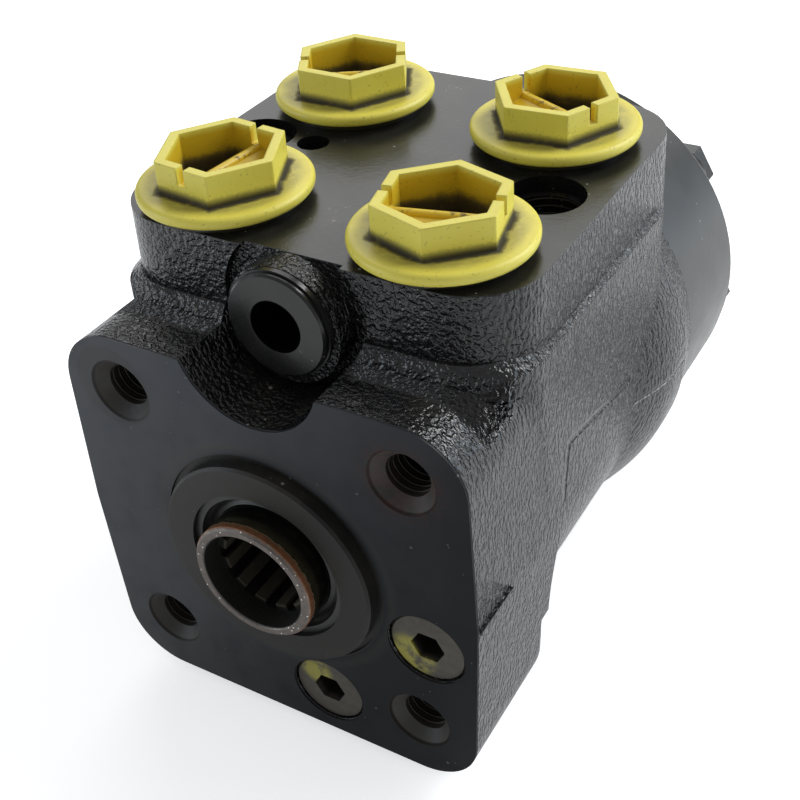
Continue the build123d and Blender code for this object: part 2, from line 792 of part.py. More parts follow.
with BuildPart() as cardan_shaft:
    # forked front end that straddles the cross pin
    with BuildSketch(cardan_plane.offset(-cardan_fork_front)):
        Circle(cardan_fork_r)
    extrude(amount=cardan_fork_front + cardan_fork_back)
    chamfer(cardan_shaft.edges().filter_by(GeomType.CIRCLE), cardan_fork_edge)
    with BuildSketch(cardan_plane.offset(-cardan_fork_front)):
        Rectangle(2 * (pin_r + seat_fit), 2 * cardan_fork_r)
    extrude(amount=cardan_fork_front + fork_length, mode=Mode.SUBTRACT)
    with BuildSketch(cardan_plane.offset(cardan_fork_back)):
        Circle(cardan_shank_r)
    extrude(amount=head_start - cardan_fork_back)
    # crowned splines
    with BuildSketch(cardan_plane.offset(head_start)):
        Circle(cardan_head_root_r)
        with PolarLocations((cardan_head_root_r + head_tip_r) / 2, rotor_spline_teeth):
            Rectangle(head_tip_r - cardan_head_root_r + seat_fit, cardan_tooth_width)
    extrude(amount=cardan_head_length)
    crown = Plane(origin=pivot, x_dir=cardan_plane.z_dir, z_dir=cardan_plane.x_dir)
    with BuildSketch(crown):
        with BuildLine():
            Line((head_start, rotor_spline_root_r), (head_end, rotor_spline_root_r))
            Line((head_end, rotor_spline_root_r), (head_end, head_tip_r - cardan_crown))
            ThreePointArc(
                (head_end, head_tip_r - cardan_crown),
                (cardan_reach, head_tip_r),
                (head_start, head_tip_r - cardan_crown),
            )
            Line((head_start, head_tip_r - cardan_crown), (head_start, rotor_spline_root_r))
        make_face()
    revolve(axis=Axis(pivot, cardan_plane.z_dir), mode=Mode.SUBTRACT)
cardan_shaft.part.label = "cardan_shaft"
export_step(cardan_shaft.part, "parts/cardan_shaft.step")

with BuildPart() as spacer_disc:
    with BuildSketch(rotor_station(gear_back - seat_fit)):
        Circle(rotor_spline_tip_r - loose_fit)
    extrude(amount=spacer_width)
spacer_disc.part.label = "spacer_disc"
export_step(spacer_disc.part, "parts/spacer_disc.step")

o_ring_faces = {"o_ring_front": housing_back, "o_ring_middle": plate_back, "o_ring_rear": gear_back}
for ring_name, face_y in o_ring_faces.items():
    # the rear ring lies in the cover, the others in the piece ahead of their joint
    ring_middle = face_y + o_ring_r if ring_name == "o_ring_rear" else face_y - o_ring_r
    with BuildPart() as o_ring:
        with BuildSketch(Plane.YZ):
            with Locations((ring_middle, o_ring_pitch_r)):
                Circle(o_ring_r)
        revolve(axis=Axis.Y)
    o_ring.part.label = ring_name
    export_step(o_ring.part, f"parts/{ring_name}.step")

# ---------------------------------------------------------------- end cover and screws
with BuildPart() as end_cover:
    with BuildSketch(station(gear_back)):
        Circle(gear_case_r)
    extrude(amount=-(cover_width - cover_rim_width))
    with BuildSketch(station(cover_back - cover_rim_width)):
        Circle(gear_case_r - cover_rim_step)
    extrude(amount=-cover_rim_width)
    fillet(end_cover.edges().sort_by(Axis.Y)[-1], cover_edge_r)
    with Locations(rear_station(cover_back)):
        with PolarLocations(screw_pitch_r, ring_teeth, screw_place):
            Hole(screw_r + loose_fit)
    with BuildSketch(station(gear_back)):
        Circle(o_ring_pitch_r + o_ring_r + seat_fit)
        Circle(o_ring_pitch_r - o_ring_r - seat_fit, mode=Mode.SUBTRACT)
    extrude(amount=-(2 * o_ring_r + seat_fit), mode=Mode.SUBTRACT)
end_cover.part.label = "end_cover"
export_step(end_cover.part, "parts/end_cover.step")

screw_tip = housing_back - screw_grip
plain_angles = [screw_place + turn * screw_step for turn in range(1, ring_teeth)]

with BuildPart() as cover_screws:
    with BuildSketch(rear_station(screw_tip)):
        with Locations(*[pitch_point(angle) for angle in plain_angles]):
            Circle(screw_r)
    extrude(amount=washer_back - screw_tip)
    with BuildSketch(rear_station(washer_back)):
        with Locations(*[pitch_point(angle) for angle in plain_angles]):
            RegularPolygon(screw_head_flats / 2, 6, major_radius=False)
    extrude(amount=screw_head_height)
    head_tops = cover_screws.edges().filter_by_position(
        Axis.Y, washer_back + screw_head_height - seat_fit, washer_back + screw_head_height + seat_fit
    )
    chamfer(head_tops, screw_head_edge)
cover_screws.part.label = "cover_screws"
export_step(cover_screws.part, "parts/cover_screws.step")

# The seventh screw is bored at its tip for a rolled pin.
with BuildPart() as pinned_screw:
    with BuildSketch(rear_station(screw_tip)):
        with Locations(pitch_point(screw_place)):
            Circle(screw_r)
            Circle(rolled_pin_r + seat_fit, mode=Mode.SUBTRACT)
    extrude(amount=screw_grip)
    with BuildSketch(rear_station(housing_back)):
        with Locations(pitch_point(screw_place)):
            Circle(screw_r)
    extrude(amount=washer_back - housing_back)
    with BuildSketch(rear_station(washer_back)):
        with Locations(pitch_point(screw_place)):
            RegularPolygon(screw_head_flats / 2, 6, major_radius=False)
    extrude(amount=screw_head_height)
    chamfer(pinned_screw.faces().sort_by(Axis.Y)[-1].edges(), screw_head_edge)
pinned_screw.part.label = "pinned_screw"
export_step(pinned_screw.part, "parts/pinned_screw.step")

with BuildPart() as rolled_pin:
    with BuildSketch(rear_station(screw_tip)):
        with Locations(pitch_point(screw_place)):
            Circle(rolled_pin_r)
            Circle(rolled_pin_r - rolled_pin_wall, mode=Mode.SUBTRACT)
        with Locations((0, screw_pitch_r + rolled_pin_r)):
            Rectangle(rolled_pin_slit, 2 * rolled_pin_wall + seat_fit, mode=Mode.SUBTRACT)
    extrude(amount=screw_grip - seat_fit)
rolled_pin.part.label = "rolled_pin"
export_step(rolled_pin.part, "parts/rolled_pin.step")

with BuildPart() as screw_washers:
    with BuildSketch(rear_station(cover_back)):
        with PolarLocations(screw_pitch_r, ring_teeth, screw_place):
            Circle(washer_r)
            Circle(screw_r + loose_fit, mode=Mode.SUBTRACT)
    extrude(amount=washer_width)
screw_washers.part.label = "screw_washers"
export_step(screw_washers.part, "parts/screw_washers.step")

# ---------------------------------------------------------------- pressure relief valve
relief_plug_back = relief_boss_front + relief_thread_length - seat_fit
poppet_shoulder = relief_seat_y - relief_bore_r
poppet_guide_r = relief_bore_r - loose_fit
poppet_stem_r = relief_spring_r - relief_wire_r - loose_fit
relief_seal_width = (relief_boss_front - relief_plug_front) / 2
relief_flange_width = relief_seal_width - seat_fit

with BuildPart() as relief_plug:
    with BuildSketch(station(relief_plug_front)):
        with Locations((0, relief_z)):
            Circle(relief_plug_r - relief_plug_edge)
    extrude(amount=-relief_flange_width)
    chamfer(relief_plug.edges().sort_by(Axis.Y)[0], relief_plug_edge)
    with BuildSketch(station(relief_plug_front + relief_flange_width)):
        with Locations((0, relief_z)):
            Circle(relief_thread_r)
    extrude(amount=-(relief_plug_back - relief_plug_front - relief_flange_width))
    with Locations(station(relief_plug_front)):
        with Locations((0, relief_z)):
            CounterSinkHole(relief_port_r, relief_socket_r, relief_socket_depth, relief_socket_cone)
    with BuildSketch(station(relief_plug_front)):
        with Locations((0, relief_z)):
            RegularPolygon(relief_socket_flats / 2, 6, major_radius=False)
    extrude(amount=-relief_socket_depth, mode=Mode.SUBTRACT)
relief_plug.part.label = "relief_plug"
export_step(relief_plug.part, "parts/relief_plug.step")

with BuildPart() as relief_seal:
    with BuildSketch(station(relief_boss_front - relief_seal_width)):
        with Locations((0, relief_z)):
            Circle(relief_plug_r)
            Circle(relief_thread_r + seat_fit, mode=Mode.SUBTRACT)
    extrude(amount=-relief_seal_width)
relief_seal.part.label = "relief_seal"
export_step(relief_seal.part, "parts/relief_seal.step")

relief_axis = Axis((0, 0, relief_z), (0, 1, 0))
with BuildPart() as relief_poppet:
    with BuildSketch(Plane.YZ):
        Polygon(
            (poppet_shoulder - relief_bore_r, relief_z),
            (poppet_shoulder - relief_bore_r, relief_z + poppet_stem_r),
            (poppet_shoulder, relief_z + poppet_stem_r),
            (poppet_shoulder, relief_z + poppet_guide_r),
            (relief_seat_y - relief_head_length, relief_z + poppet_guide_r),
            (relief_seat_y, relief_z + relief_port_r - seat_fit),
            (relief_seat_y + seat_fit, relief_z),
            align=None,
        )
    revolve(axis=relief_axis)
relief_poppet.part.label = "relief_poppet"
export_step(relief_poppet.part, "parts/relief_poppet.step")

with BuildPart() as relief_seat:
    with BuildSketch(station(relief_seat_y)):
        with Locations((0, relief_z)):
            Circle(relief_bore_r)
            Circle(relief_port_r, mode=Mode.SUBTRACT)
    extrude(amount=-relief_seat_length)
relief_seat.part.label = "relief_seat"
export_step(relief_seat.part, "parts/relief_seat.step")

relief_coil_start = relief_plug_back + relief_wire_r + seat_fit
relief_coil_end = poppet_shoulder - relief_lift - relief_wire_r - seat_fit
with BuildPart() as relief_spring:
    with BuildLine():
        relief_coil = Helix(
            pitch=(relief_coil_end - relief_coil_start) / relief_coils,
            height=relief_coil_end - relief_coil_start,
            radius=relief_spring_r,
            center=(0, relief_coil_start, relief_z),
            direction=(0, 1, 0),
        )
    with BuildSketch(Plane(origin=relief_coil @ 0, z_dir=relief_coil % 0)):
        Circle(relief_wire_r)
    sweep()
relief_spring.part.label = "relief_spring"
export_step(relief_spring.part, "parts/relief_spring.step")

# ---------------------------------------------------------------- shock valves
shock_plug_back = shock_plug_front + shock_plug_length
shock_ball_y = shock_seat_y - (shock_ball_r**2 - shock_port_r**2) ** 0.5 - running_fit
shock_coil_start = shock_plug_back + shock_wire_r + seat_fit
shock_coil_reach = ((shock_ball_r + shock_wire_r) ** 2 - shock_spring_r**2) ** 0.5
shock_coil_end = shock_ball_y - shock_coil_reach - shock_lift - seat_fit

with BuildPart() as shock_plugs:
    with BuildSketch(station(shock_plug_front)):
        with Locations(*shock_places):
            Circle(shock_plug_r)
    extrude(amount=-shock_plug_length)
    chamfer(shock_plugs.edges().group_by(Axis.Y)[0], shock_plug_edge)
    with BuildSketch(station(shock_plug_front)):
        with Locations(*shock_places):
            RegularPolygon(shock_socket_flats / 2, 6, major_radius=False)
    extrude(amount=-shock_socket_depth, mode=Mode.SUBTRACT)
shock_plugs.part.label = "shock_plugs"
export_step(shock_plugs.part, "parts/shock_plugs.step")

with BuildPart() as shock_seals:
    with BuildSketch(station(shock_plug_back + seat_fit)):
        with Locations(*shock_places):
            Circle(shock_plug_r)
            Circle(shock_bore_r + seat_fit, mode=Mode.SUBTRACT)
    extrude(amount=-(shock_seal_width - seat_fit))
shock_seals.part.label = "shock_seals"
export_step(shock_seals.part, "parts/shock_seals.step")

with BuildPart() as shock_springs:
    for shock_x, shock_z in shock_places:
        with BuildLine():
            shock_coil = Helix(
                pitch=(shock_coil_end - shock_coil_start) / shock_coils,
                height=shock_coil_end - shock_coil_start,
                radius=shock_spring_r,
                center=(shock_x, shock_coil_start, shock_z),
                direction=(0, 1, 0),
            )
        with BuildSketch(Plane(origin=shock_coil @ 0, z_dir=shock_coil % 0)):
            Circle(shock_wire_r)
        sweep()
shock_springs.part.label = "shock_springs"
export_step(shock_springs.part, "parts/shock_springs.step")

for ball_name, (shock_x, shock_z) in zip(("shock_ball_right", "shock_ball_lower"), shock_places):
    with BuildPart() as shock_ball:
        with Locations((shock_x, shock_ball_y, shock_z)):
            Sphere(shock_ball_r)
    shock_ball.part.label = ball_name
    export_step(shock_ball.part, f"parts/{ball_name}.step")

# ---------------------------------------------------------------- suction and check valves
suction_ball_y = suction_seat_y + (suction_ball_r**2 - suction_port_r**2) ** 0.5 + running_fit
suction_pin_start = suction_ball_y + suction_ball_r + suction_lift + seat_fit

for ball_name, angle in zip(("suction_ball_left", "suction_ball_right"), suction_angles):
    with BuildPart() as suction_ball:
        with Locations(spoke(suction_ball_y, angle).offset(screw_pitch_r)):
            Sphere(suction_ball_r)
    suction_ball.part.label = ball_name
    export_step(suction_ball.part, f"parts/{ball_name}.step")

with BuildPart() as suction_pins:
    with BuildSketch(rear_station(suction_pin_start)):
        with Locations(*[pitch_point(angle) for angle in suction_angles]):
            Circle(suction_pin_r)
    extrude(amount=screw_tip - seat_fit - suction_pin_start)
suction_pins.part.label = "suction_pins"
export_step(suction_pins.part, "parts/suction_pins.step")

check_ball_z = check_seat_z + (check_ball_r**2 - check_port_r**2) ** 0.5 + running_fit
with BuildPart() as check_ball:
    with Locations((check_x, port_back_y, check_ball_z)):
        Sphere(check_ball_r)
check_ball.part.label = "check_ball"
export_step(check_ball.part, "parts/check_ball.step")

with BuildPart() as check_bushing:
    with BuildSketch(Plane.XY.offset(check_ball_z + check_ball_r + check_lift + seat_fit)):
        with Locations((check_x, port_back_y)):
            Circle(check_bore_r - seat_fit)
            RegularPolygon(check_port_r, 6, major_radius=False, mode=Mode.SUBTRACT)
    extrude(amount=check_bushing_length)
check_bushing.part.label = "check_bushing"
export_step(check_bushing.part, "parts/check_bushing.step")

# ---------------------------------------------------------------- transport caps
# Each cap stands as it was screwed in, so its two notches face their own way.
cap_turns = {
    "cap_front_left": (-port_x, port_front_y, 84),
    "cap_front_right": (port_x, port_front_y, 13),
    "cap_rear_left": (-port_x, port_back_y, 29),
    "cap_rear_right": (port_x, port_back_y, 334),
}
disc_top = cap_collar_height + cap_disc_width
hex_top = disc_top + cap_hex_height
inner_flat = cap_hex_r * cos(pi / 6) - cap_hex_wall
inner_hex_r = inner_flat / cos(pi / 6)
rib_top = hex_top - cap_rib_drop

for cap_name, (cap_x, cap_y, cap_turn) in cap_turns.items():
    cap_plane = Plane(
        origin=(cap_x, cap_y, port_face_z),
        x_dir=(cos(radians(cap_turn)), sin(radians(cap_turn)), 0),
        z_dir=(0, 0, 1),
    )
    with BuildPart() as cap_ramp:
        # raised half beside the rib, falling away to the wall
        with BuildSketch(cap_plane.offset(cap_collar_height)):
            RegularPolygon(inner_hex_r, 6, rotation=hex_points_up)
            with Locations((0, inner_hex_r)):
                Rectangle(4 * inner_hex_r, 2 * inner_hex_r, mode=Mode.SUBTRACT)
        extrude(amount=rib_top - cap_collar_height)
        ramp_side = Plane(origin=cap_plane.origin, x_dir=cap_plane.y_dir, z_dir=cap_plane.x_dir)
        with BuildSketch(ramp_side.offset(-2 * inner_hex_r)):
            Polygon(
                (0, rib_top),
                (-2 * inner_hex_r, rib_top),
                (-2 * inner_hex_r, disc_top - cap_ramp_drop),
                (-inner_hex_r, disc_top),
                align=None,
            )
        extrude(amount=4 * inner_hex_r, mode=Mode.SUBTRACT)
    with BuildPart() as cap:
        with BuildSketch(cap_plane.offset(-cap_shank_depth)):
            Circle(cap_shank_r)
            Circle(cap_shank_r - cap_shank_wall, mode=Mode.SUBTRACT)
        extrude(amount=cap_shank_depth)
        with BuildSketch(cap_plane):
            Circle(cap_collar_r)
        extrude(amount=cap_collar_height)
        with BuildSketch(cap_plane.offset(cap_collar_height)):
            Circle(cap_disc_r)
        extrude(amount=cap_disc_width)
        rim = cap.edges().filter_by(GeomType.CIRCLE).group_by(SortBy.RADIUS)[-1]
        fillet(rim, cap_disc_edge_r)
        with BuildSketch(cap_plane.offset(disc_top)):
            RegularPolygon(cap_hex_r, 6, rotation=hex_points_up)
        extrude(amount=cap_hex_height)
        hex_corners = [e for e in cap.edges().filter_by(Axis.Z) if e.length > cap_hex_height - seat_fit]
        fillet([e for e in hex_corners if e.length < cap_hex_height + seat_fit], cap_hex_edge_r)
        with BuildSketch(cap_plane.offset(cap_floor_width)):
            RegularPolygon(inner_hex_r, 6, rotation=hex_points_up)
        extrude(amount=hex_top, mode=Mode.SUBTRACT)
        with BuildSketch(cap_plane.offset(hex_top - cap_notch_depth)):
            Rectangle(3 * cap_hex_r, cap_notch_width)
        extrude(amount=cap_notch_depth, mode=Mode.SUBTRACT)
        with BuildSketch(cap_plane.offset(cap_floor_width - seat_fit)):
            Rectangle(2 * inner_flat + seat_fit, cap_rib_width)
        extrude(amount=rib_top - cap_floor_width)
        add(cap_ramp.part)
    cap.part.label = cap_name
    export_step(cap.part, f"parts/{cap_name}.step")
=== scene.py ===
# %% [markdown]
# # An orbital steering unit, dressed over its CAD solids
#
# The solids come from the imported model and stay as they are. This lesson gives each of them a
# finish, adds the threads in its holes and the ribs in its caps, and sets it on a pale table.
# Every size is in metres, and every piece stands in the same frame: Y runs along the shaft, from
# the mounting face at 0 to the end cover, and Z points up to the ports.

from math import cos, pi, radians, sin

import bmesh
import bpy
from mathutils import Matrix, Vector


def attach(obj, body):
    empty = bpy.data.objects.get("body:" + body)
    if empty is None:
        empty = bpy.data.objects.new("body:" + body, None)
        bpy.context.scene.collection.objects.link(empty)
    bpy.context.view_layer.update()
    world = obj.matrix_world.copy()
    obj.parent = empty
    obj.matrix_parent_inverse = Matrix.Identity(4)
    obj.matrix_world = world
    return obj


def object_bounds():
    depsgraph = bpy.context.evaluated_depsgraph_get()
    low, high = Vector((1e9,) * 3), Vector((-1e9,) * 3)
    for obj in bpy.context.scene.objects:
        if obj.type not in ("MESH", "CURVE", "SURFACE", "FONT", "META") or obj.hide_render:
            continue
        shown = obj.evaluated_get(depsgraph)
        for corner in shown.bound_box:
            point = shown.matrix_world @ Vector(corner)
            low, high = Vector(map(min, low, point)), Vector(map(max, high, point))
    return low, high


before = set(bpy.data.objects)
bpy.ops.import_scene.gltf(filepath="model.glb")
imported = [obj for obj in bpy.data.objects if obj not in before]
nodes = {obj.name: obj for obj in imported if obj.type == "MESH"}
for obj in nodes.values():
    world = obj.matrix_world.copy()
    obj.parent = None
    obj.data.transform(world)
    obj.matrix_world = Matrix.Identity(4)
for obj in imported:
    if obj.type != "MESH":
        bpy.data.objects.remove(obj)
cad_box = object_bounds()
MM = 0.001
print("CAD nodes:", len(nodes), "box:", [tuple(round(v, 4) for v in corner) for corner in cad_box])

# %% [markdown]
# ## A small wiring board
#
# A material is a tree of nodes. Wiring each link by hand takes many lines, so a helper adds a node
# and links its inputs in one call. Blender could also build the same trees by mouse; code makes
# them repeatable, and lets one tree share its parts with the next.


# %% The wiring board
class Board:
    """Adds nodes to one tree, and links or sets their inputs."""

    def __init__(self, tree):
        self.tree = tree

    def plug(self, socket, value):
        if isinstance(value, bpy.types.NodeSocket):
            self.tree.links.new(value, socket)
        elif value is not None:
            if socket.type == "RGBA" and len(value) == 3:
                value = (*value, 1.0)
            socket.default_value = value

    def add(self, kind, inputs=(), **settings):
        node = self.tree.nodes.new(kind)
        for key, value in settings.items():
            setattr(node, key, value)
        for key, value in dict(inputs).items():
            self.plug(node.inputs[key], value)
        return node

    def math(self, operation, *values):
        node = self.add("ShaderNodeMath", operation=operation)
        for socket, value in zip(node.inputs, values):
            self.plug(socket, value)
        return node.outputs[0]

    def rise(self, value, low, high):
        """0 below low, 1 above high, smooth between. Swap the two for a fall."""
        flipped = low > high
        node = self.add("ShaderNodeMapRange", interpolation_type="SMOOTHSTEP")
        self.plug(node.inputs["Value"], value)
        node.inputs["From Min"].default_value = min(low, high)
        node.inputs["From Max"].default_value = max(low, high)
        node.inputs["To Min"].default_value = 1.0 if flipped else 0.0
        node.inputs["To Max"].default_value = 0.0 if flipped else 1.0
        return node.outputs["Result"]

    def span(self, value, low, high, soft):
        """1 between low and high, with soft edges."""
        up = self.rise(value, low - soft, low + soft)
        down = self.rise(value, high + soft, high - soft)
        return self.math("MULTIPLY", up, down)

    def mix(self, factor, first, second):
        node = self.add("ShaderNodeMix", data_type="RGBA")
        self.plug(node.inputs["Factor"], factor)
        self.plug(node.inputs[6], first)
        self.plug(node.inputs[7], second)
        return node.outputs[2]

    def between(self, factor, low, high):
        """Plain number between low and high."""
        node = self.add("ShaderNodeMapRange")
        self.plug(node.inputs["Value"], factor)
        self.plug(node.inputs["To Min"], low)
        self.plug(node.inputs["To Max"], high)
        return node.outputs["Result"]

    def stretch(self, vector, scale):
        node = self.add("ShaderNodeVectorMath", operation="MULTIPLY")
        self.plug(node.inputs[0], vector)
        self.plug(node.inputs[1], scale)
        return node.outputs[0]

    def noise(self, vector, size, detail=2.0, roughness=0.5, distortion=0.0):
        """Cloudy values about 0.5, with features about size metres across."""
        node = self.add("ShaderNodeTexNoise", noise_dimensions="3D")
        self.plug(node.inputs["Vector"], vector)
        scale = size if isinstance(size, bpy.types.NodeSocket) else 1.0 / size
        self.plug(node.inputs["Scale"], scale)
        node.inputs["Detail"].default_value = detail
        node.inputs["Roughness"].default_value = roughness
        node.inputs["Distortion"].default_value = distortion
        return node.outputs["Fac"]

    def cells(self, vector, size, feature="F1"):
        """Distance to the nearest of scattered points about size metres apart."""
        node = self.add("ShaderNodeTexVoronoi", feature=feature)
        self.plug(node.inputs["Vector"], vector)
        node.inputs["Scale"].default_value = 1.0 / size
        return node.outputs["Distance"]

    def place(self):
        """Object coordinates as a vector, and its three parts."""
        vector = self.add("ShaderNodeTexCoord").outputs["Object"]
        parts = self.add("ShaderNodeSeparateXYZ", {"Vector": vector})
        return vector, parts.outputs[0], parts.outputs[1], parts.outputs[2]

    def facing(self):
        """The surface's own direction, before any bump."""
        normal = self.add("ShaderNodeTexCoord").outputs["Normal"]
        parts = self.add("ShaderNodeSeparateXYZ", {"Vector": normal})
        return parts.outputs[0], parts.outputs[1], parts.outputs[2]

    def radius(self, across, up, centre_across=0.0, centre_up=0.0):
        a = self.math("SUBTRACT", across, centre_across)
        b = self.math("SUBTRACT", up, centre_up)
        total = self.math("ADD", self.math("MULTIPLY", a, a), self.math("MULTIPLY", b, b))
        return self.math("SQRT", total)

    def bump(self, height, distance, strength=1.0):
        inputs = {"Height": height, "Distance": distance, "Strength": strength}
        return self.add("ShaderNodeBump", inputs).outputs["Normal"]


def material_board(name, roughness=0.5, metallic=0.0, coat=0.0, coat_roughness=0.1, ior=1.5):
    """A new material with a Principled shader, and the board to wire it on."""
    material = bpy.data.materials.new(name)
    material.use_nodes = True
    shader = material.node_tree.nodes["Principled BSDF"]
    shader.inputs["Roughness"].default_value = roughness
    shader.inputs["Metallic"].default_value = metallic
    shader.inputs["Coat Weight"].default_value = coat
    shader.inputs["Coat Roughness"].default_value = coat_roughness
    shader.inputs["IOR"].default_value = ior
    return material, shader, Board(material.node_tree)


def group_tree(name, inputs, outputs):
    """An empty node group with named sockets, and its board and two end nodes."""
    tree = bpy.data.node_groups.new(name, "ShaderNodeTree")
    for socket_name, kind, value in inputs:
        socket = tree.interface.new_socket(socket_name, in_out="INPUT", socket_type=kind)
        if value is not None:
            socket.default_value = value
    for socket_name, kind in outputs:
        tree.interface.new_socket(socket_name, in_out="OUTPUT", socket_type=kind)
    board = Board(tree)
    start = tree.nodes.new("NodeGroupInput")
    end = tree.nodes.new("NodeGroupOutput")
    return tree, board, start.outputs, end.inputs


def use_group(board, tree, **inputs):
    node = board.tree.nodes.new("ShaderNodeGroup")
    node.node_tree = tree
    for key, value in inputs.items():
        board.plug(node.inputs[key.replace("_", " ")], value)
    return node.outputs


def dress(material, *names):
    """Gives CAD nodes a finish, in their own material slots."""
    for name in names:
        mesh = nodes[name].data
        if not mesh.materials:
            mesh.materials.append(material)
        for slot in range(len(mesh.materials)):
            mesh.materials[slot] = material


# %% [markdown]
# ## Skin of a sand casting
#
# The housing is cast in sand, so its skin shows the grains: soft pits and ridges about a
# millimetre across, drawn out where the pattern was pulled from the mould. A displacement would
# need millions of faces; a bump height from two noises costs nothing and takes the light as well.

# %% Group: cast skin
cast_skin, board, given, out = group_tree(
    "cast skin",
    [("Vector", "NodeSocketVector", None), ("Grain Scale", "NodeSocketFloat", 900.0)],
    [("Height", "NodeSocketFloat"), ("Pits", "NodeSocketFloat")],
)
coarse = board.noise(given["Vector"], given["Grain Scale"], detail=1.6, roughness=0.45, distortion=0.12)
wide = board.noise(board.stretch(given["Vector"], (0.22, 0.22, 0.22)), given["Grain Scale"], detail=1.0)
fine = board.noise(board.stretch(given["Vector"], (2.6, 2.6, 2.6)), given["Grain Scale"], detail=2.0)
grains = board.rise(coarse, 0.32, 0.66)
body = board.math("MULTIPLY_ADD", wide, 0.55, board.math("MULTIPLY", grains, 0.75))
board.plug(out["Height"], board.math("MULTIPLY_ADD", fine, 0.16, body))
board.plug(out["Pits"], board.rise(coarse, 0.42, 0.30))
print("group:", cast_skin.name, len(cast_skin.nodes), "nodes")

# %% [markdown]
# ## Dust and small scratches
#
# The unit has stood on a shelf: pale specks lie on its paint, thicker in some places than in
# others, and handling left fine marks. One group makes both, so every painted piece ages alike.

# %% Group: shelf dust
shelf_dust, board, given, out = group_tree(
    "shelf dust",
    [
        ("Vector", "NodeSocketVector", None),
        ("Amount", "NodeSocketFloat", 0.5),
    ],
    [("Specks", "NodeSocketFloat"), ("Haze", "NodeSocketFloat"), ("Scratches", "NodeSocketFloat")],
)
cloud = board.noise(given["Vector"], 0.009, detail=3.0, roughness=0.6)
speck_distance = board.cells(given["Vector"], 0.0021)
speck_size = board.math("MULTIPLY", board.rise(cloud, 0.42, 0.72), 0.20)
dots = board.math("SUBTRACT", speck_size, speck_distance)
specks = board.rise(dots, 0.0, 0.05)
board.plug(out["Specks"], board.math("MULTIPLY", specks, given["Amount"]))
haze = board.math("MULTIPLY", board.rise(cloud, 0.38, 0.75), given["Amount"])
board.plug(out["Haze"], haze)
drawn = board.stretch(given["Vector"], (900.0, 120.0, 300.0))
streak = board.noise(drawn, 1.0, detail=1.0, distortion=0.4)
board.plug(out["Scratches"], board.math("MULTIPLY", board.rise(streak, 0.66, 0.74), given["Amount"]))
print("group:", shelf_dust.name, len(shelf_dust.nodes), "nodes")

# %% [markdown]
# ## Painted housing
#
# The housing is painted black after machining. Its mounting face, port face and bores are cut, so
# there the paint is flat; everywhere else it flows over the rough cast skin and shines on every
# grain. One material tells the faces apart by where they lie, which keeps the edge between the
# two kinds of surface as crisp as the cutter left it.

# %% Masks of the machined faces
PORT_FACE = 0.0555
hole_pitch = 0.02917
hole_mouth = 0.0067
spigot_groove = 0.0235
seal_pocket = 0.0193
RELIEF_HEIGHT = 0.045
cap_places = {
    "cap_front_left": (-0.0222, 0.0296, 84),
    "cap_front_right": (0.0222, 0.0296, 13),
    "cap_rear_left": (-0.0222, 0.0742, 29),
    "cap_rear_right": (0.0222, 0.0742, 334),
}
top_holes = [(place[0], place[1], 0.0112) for place in cap_places.values()]
top_holes += [(0.0300, 0.0529, 0.0076), (-0.0320, 0.0537, 0.0076), (-0.0200, 0.0546, 0.0036)]

housing_paint, shader, board = material_board("housing paint", roughness=0.2)
vector, x, y, z = board.place()
face_x, face_y, face_z = board.facing()
side = board.math("ABSOLUTE", x)
from_shaft = board.radius(x, z)
hole_r = board.radius(side, board.math("ABSOLUTE", z), hole_pitch, hole_pitch)
mount_face = board.rise(y, 0.0006, 0.0003)
port_face = board.rise(z, PORT_FACE - 0.00015, PORT_FACE - 0.00002)
in_groove = board.rise(from_shaft, spigot_groove + 0.0002, spigot_groove)
spigot = board.math("MULTIPLY", in_groove, board.rise(y, 0.0010, 0.0008))
in_pocket = board.rise(from_shaft, seal_pocket + 0.0003, seal_pocket)
bores = board.math("MULTIPLY", in_pocket, board.rise(y, 0.106, 0.105))
bores = board.math("MAXIMUM", bores, board.rise(hole_r, hole_mouth + 0.0001, hole_mouth))
for hole_x, hole_y, hole_size in top_holes:
    one = board.rise(board.radius(x, y, hole_x, hole_y), hole_size + 0.0003, hole_size + 0.0001)
    bores = board.math("MAXIMUM", bores, board.math("MULTIPLY", one, board.rise(z, 0.030, 0.031)))
flats = board.math("MAXIMUM", mount_face, port_face)
milled = board.math("MAXIMUM", flats, board.math("MAXIMUM", spigot, bores))
print("masks:", len(housing_paint.node_tree.nodes), "nodes")

# %% [markdown]
# The block stands on the body with small ledges that the thick paint rounds off. Light tells a
# rounded ledge from a sharp one only by the way the surface faces, so the shader eases that
# direction from one face to the next, and the solid keeps its shape.

# %% Eased ledges
block_half, block_front, block_back, corner_r = 0.0422, 0.015, 0.0956, 0.0145
out_x = board.math("MAXIMUM", board.math("SUBTRACT", side, block_half - corner_r), 0.00001)
block_mid = (block_front + block_back) / 2
along = board.math("SUBTRACT", y, block_mid)
out_y = board.math("SUBTRACT", board.math("ABSOLUTE", along), (block_back - block_front) / 2 - corner_r)
out_y = board.math("MAXIMUM", out_y, 0.0)
wall = board.add("ShaderNodeCombineXYZ", {
    "X": board.math("MULTIPLY", out_x, board.math("SIGN", x)),
    "Y": board.math("MULTIPLY", out_y, board.math("SIGN", along)),
    "Z": board.math("MULTIPLY", out_x, 0.02),
}).outputs[0]
own = board.add("ShaderNodeNewGeometry").outputs["Normal"]


def turn_normal(normal, towards, amount):
    """Eases a direction towards another one by an amount from 0 to 1."""
    unit = board.add("ShaderNodeVectorMath", operation="NORMALIZE")
    board.plug(unit.inputs[0], towards)
    blend = board.add("ShaderNodeMix", data_type="VECTOR")
    board.plug(blend.inputs[0], amount)
    board.plug(blend.inputs[4], normal)
    board.plug(blend.inputs[5], unit.outputs[0])
    whole = board.add("ShaderNodeVectorMath", operation="NORMALIZE")
    board.plug(whole.inputs[0], blend.outputs[1])
    return whole.outputs[0]


